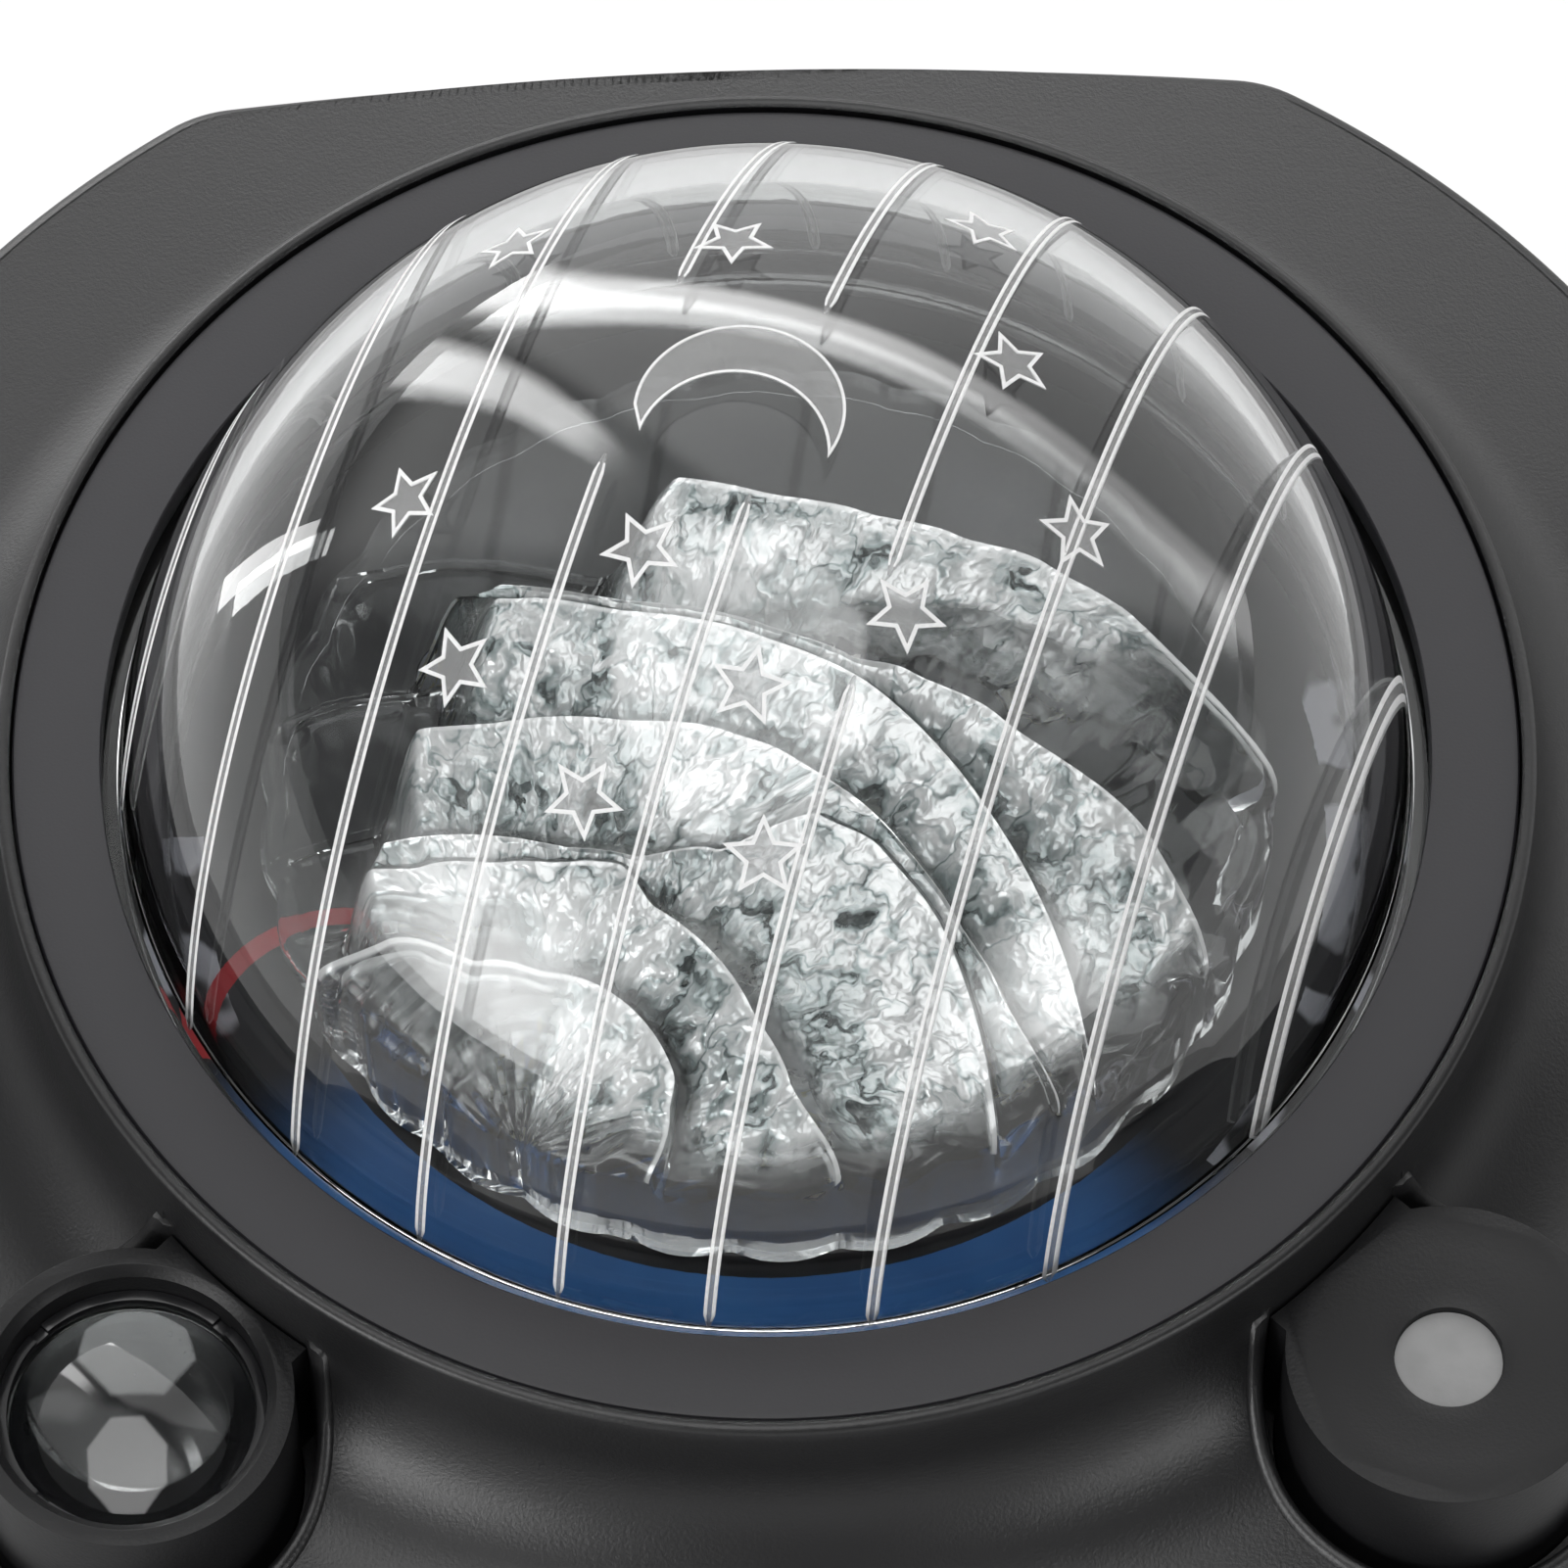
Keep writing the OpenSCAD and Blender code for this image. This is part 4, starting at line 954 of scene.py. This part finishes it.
# The red line is a part of a ring around a point at the left
loop_x, loop_y = tray_x + 32.5 * MM, tray_y + 18.5 * MM
loop_r = length(loop_x, loop_y)
red_zone = (loop_r > 10.1 * MM) * (loop_r < 11.7 * MM) * (loop_y > -4 * MM) * (loop_x < 4 * MM)
tone = tray_finish.noise(0.12, 2.0)
dark = tray_finish.blend(tone, (0.005, 0.005, 0.006), (0.014, 0.014, 0.017))
blue = tray_finish.blend(tone, (0.03, 0.13, 0.38), (0.07, 0.25, 0.62))
red = tray_finish.blend(tone, (0.35, 0.012, 0.02), (0.6, 0.03, 0.04))
# Painted glints: light grey stripes on the tray's sides stand in for the white glints seen at the sides of
# the dome's base.
painted_glints = (tray_finish.smooth((tray_angle * 21 + tone * 9).maths("SINE"), 0.1, 0.7)
        * (tray_r > 43.5 * MM) * (from_front > 0.95) * (from_front < 2.0))
body = tray_finish.blend(painted_glints, tray_finish.blend(blue_zone, dark, blue), (0.5, 0.5, 0.55))
tray_finish.give(Base_Color=tray_finish.blend(red_zone, body, red))
print("tray:", len(tray_finish.tree.nodes), "nodes")

# %% Finishes by slot
def plain(name, colour, gloss, metal=0.0, grain_mm=0.01, per_mm=1.5):
    """A plain colour with a slight change of tone and gloss and a fine grain."""
    finish = Finish(name, Metallic=metal, IOR=1.5)
    fine = finish.noise(per_mm, 3.0, 0.6)
    shade = finish.blend(fine, tuple(c * 0.85 for c in colour), tuple(min(1, c * 1.15) for c in colour))
    finish.give(Base_Color=shade, Roughness=finish.spread(fine, gloss - 0.06, gloss + 0.06))
    return finish.grain(fine, grain_mm).material


window_finish = Finish("frosted_window", Roughness=0.3, IOR=1.5)
window_finish.give(Base_Color=window_finish.blend(
    window_finish.noise(0.5, 2.0), (0.20, 0.20, 0.20), (0.26, 0.26, 0.26)))
window_finish.grain(window_finish.noise(3.0), 0.01)
BY_SLOT = {
    "case_black": case_plastic, "bezel_black": bezel_plastic, "lip_black": gloss_black,
    "clear": dome_clear, "clear_wave": dome_clear, "lens_glass": lens_glass,
    "frosted": window_finish.material, "blue_tray": tray_finish.material,
    "slide_film": plain("slide_film", (0.012, 0.012, 0.014), 0.25),
    "white_nylon": plain("white_nylon", (0.72, 0.71, 0.67), 0.45),
    "steel": plain("plated_steel", (0.6, 0.61, 0.63), 0.3, 1.0),
    "aluminium": plain("bare_aluminium", (0.62, 0.64, 0.66), 0.38, 1.0),
    "brass": plain("turned_brass", (0.66, 0.47, 0.17), 0.28, 1.0),
    "board_green": plain("board_green", (0.03, 0.18, 0.06), 0.3),
    "board_white": plain("board_white", (0.78, 0.78, 0.75), 0.3),
    "chip_black": plain("chip_black", (0.012, 0.012, 0.014), 0.45),
    "lamp_yellow": plain("lamp_yellow", (0.85, 0.78, 0.42), 0.35),
    "rubber": plain("foot_rubber", (0.012, 0.012, 0.012), 0.7, 0.0, 0.03, 2.5),
    "button_red": plain("button_red", (0.38, 0.03, 0.025), 0.4),
    "button_grey": plain("button_grey", (0.045, 0.045, 0.048), 0.4),
}

for row in frame["record"]["subparts"]:
    mesh = frame["nodes"][row["node"]].data
    mesh.materials.clear()
    mesh.materials.append(BY_SLOT[row["material_slot"]])

# %% [markdown]
# ## Push buttons
# Each button is a moulded cap with a shallow dish for the fingertip and a rounded rim, on the flange that
# keeps it inside the case. One section is spun and laid on its side for all four. Each cap rides on its
# own body, because it is pressed on its own.

# %% Turn the four caps
CAP_SECTION = ([(0, 0.42), (1.2, 0.38), (2.3, 0.24), (3.1, 0.08), (3.5, 0.01)]
               + arc(3.72, 0.78, 0.78, 270, 360, 6)
               + [(4.5, 3.1), (4.6, 3.2), (5.4, 3.2), (5.5, 3.3), (5.5, 4.1), (5.4, 4.2), (2.0, 4.2),
                  (2.0, 4.9), (1.9, 5.0), (0, 5.0)])

for node, x in zip(("power_button", "colour_button", "speed_button", "star_button"), BUTTON_X):
    slot = "button_red" if node == "power_button" else "button_grey"
    finished(node + "_cap", laid_in_face(turned(CAP_SECTION, 96), x), BY_SLOT[slot], body=node,
             stands_for=[node])

# %% [markdown]
# ## Light and floor
# Glossy black plastic and clear plastic show little but what surrounds them, so the surroundings are the
# light. The world is a dim grey room with a large white panel and a thin bright arch behind the object, an
# eight-sided soft box overhead and a few soft windows at the sides. All of it is one sum of smooth masks
# over the direction of a ray. Rays from the camera see plain white. The floor is pale and keeps the
# object's shadow.

# %% Room
bpy.context.scene.view_settings.view_transform = "Standard"
world = bpy.data.worlds.new("studio")
bpy.context.scene.world = world
world.use_nodes = True


class Room(Finish):
    """The same shader maths for the world's nodes."""

    def __init__(self, tree):
        self.tree = tree


room = Room(world.node_tree)
background = world.node_tree.nodes["Background"]
direction = room.node("ShaderNodeTexCoord", output=0)
side, behind, height = (room.axis(direction, a) for a in "XYZ")
azimuth = behind.maths("ARCTAN2", side) * math.degrees(1)
elevation = height.maths("ARCSINE") * math.degrees(1)


def window(value, centre, half, soft):
    """1 within half of the centre, falling softly to 0."""
    return room.smooth(abs(value - centre), half - soft, half + soft, 1.0, 0.0)


def octagon(x, y, half_x, half_y):
    """An eight-sided soft box overhead, by the sideways and backward parts of the direction."""
    across, along = abs((side - x) * (1 / half_x)), abs((behind - y) * (1 / half_y))
    reach = across.maths("MAXIMUM", along).maths("MAXIMUM", (across + along) * 0.72)
    return room.smooth(reach, 0.95, 1.05, 1.0, 0.0) * (height > 0.4)


def arch(centre, half_width, half_height, thickness):
    """A bright arch that stands on the horizon."""
    across, up = (azimuth - centre) * (1 / half_width), (elevation + 3) * (1 / half_height)
    return window(length(across, up), 1.0, thickness, thickness * 0.5)


def panel(centre, half_width, half_height):
    """A large white panel that stands on the horizon, with well rounded corners."""
    across, up = (azimuth - centre) * (1 / half_width), elevation * (1 / half_height)
    across, up = across * across, up * up
    return room.smooth(across * across + up * up, 0.8, 1.15, 1.0, 0.0)


lights = (0.17 + panel(66, 52, 69) * (0.95 - side * 0.36)
          + window(azimuth, 136, 16, 6) * window(elevation, 30, 25, 8) * 0.8
          + octagon(-0.08, -0.165, 0.37, 0.455) * 3.0
          + window(azimuth, -139, 18, 14) * window(elevation, 10, 14, 12) * 8
          + window(azimuth, -46, 13, 8) * window(elevation, 6, 11, 7) * 5
          + arch(66, 46, 34, 0.08) * room.smooth(azimuth, 30, 85, 2.5, 8.5) * (azimuth > 0)
          + window(azimuth, 90, 20, 20) * window(elevation, 32, 18, 12) * 0.35
          + window(azimuth, 123.5, 3.2, 1) * window(elevation, 6, 38, 8) * 5)
seen = room.node("ShaderNodeLightPath", output=0)
room.feed(background.inputs["Strength"], seen + (1 - seen) * lights)
background.inputs["Color"].default_value = (1, 1, 1, 1)
print("room:", len(room.tree.nodes), "nodes")

# %% Floor
floor_bm = bmesh.new()
bmesh.ops.create_grid(floor_bm, x_segments=2, y_segments=2, size=4)
floor = added("floor", mesh_of("floor", floor_bm))
floor_finish = Finish("floor", Base_Color=(0.6, 0.6, 0.6), Roughness=0.9)
path = floor_finish.node("ShaderNodeLightPath", output=0)
white = floor_finish.node("ShaderNodeEmission", {}, {"Strength": 1.12})
floor.data.materials.append(floor_finish.mixed(path * 0.75, white).material)
print("floor ready")

# %% Lamp
def softbox(name, azimuth, elevation, distance, size, power, aim):
    """A rectangular lamp at an angle and a distance from a point of the object, turned towards it."""
    a, e = math.radians(azimuth), math.radians(elevation)
    away = Vector((math.cos(a) * math.cos(e), math.sin(a) * math.cos(e), math.sin(e)))
    data = bpy.data.lights.new(name, "AREA")
    data.shape, data.size, data.size_y, data.energy = "RECTANGLE", size[0], size[1], power
    lamp = added(name, data)
    lamp.location = Vector(aim) * MM + away * distance
    lamp.rotation_euler = away.to_track_quat("Z", "Y").to_euler()
    lamp.visible_camera = False
    return lamp


left_strip = softbox("left_strip", 147, -1, 0.25, (0.018, 0.108), 0.043, (-33, 8, 60))
print("lamp", left_strip.name, round(left_strip.data.energy, 3), "W")
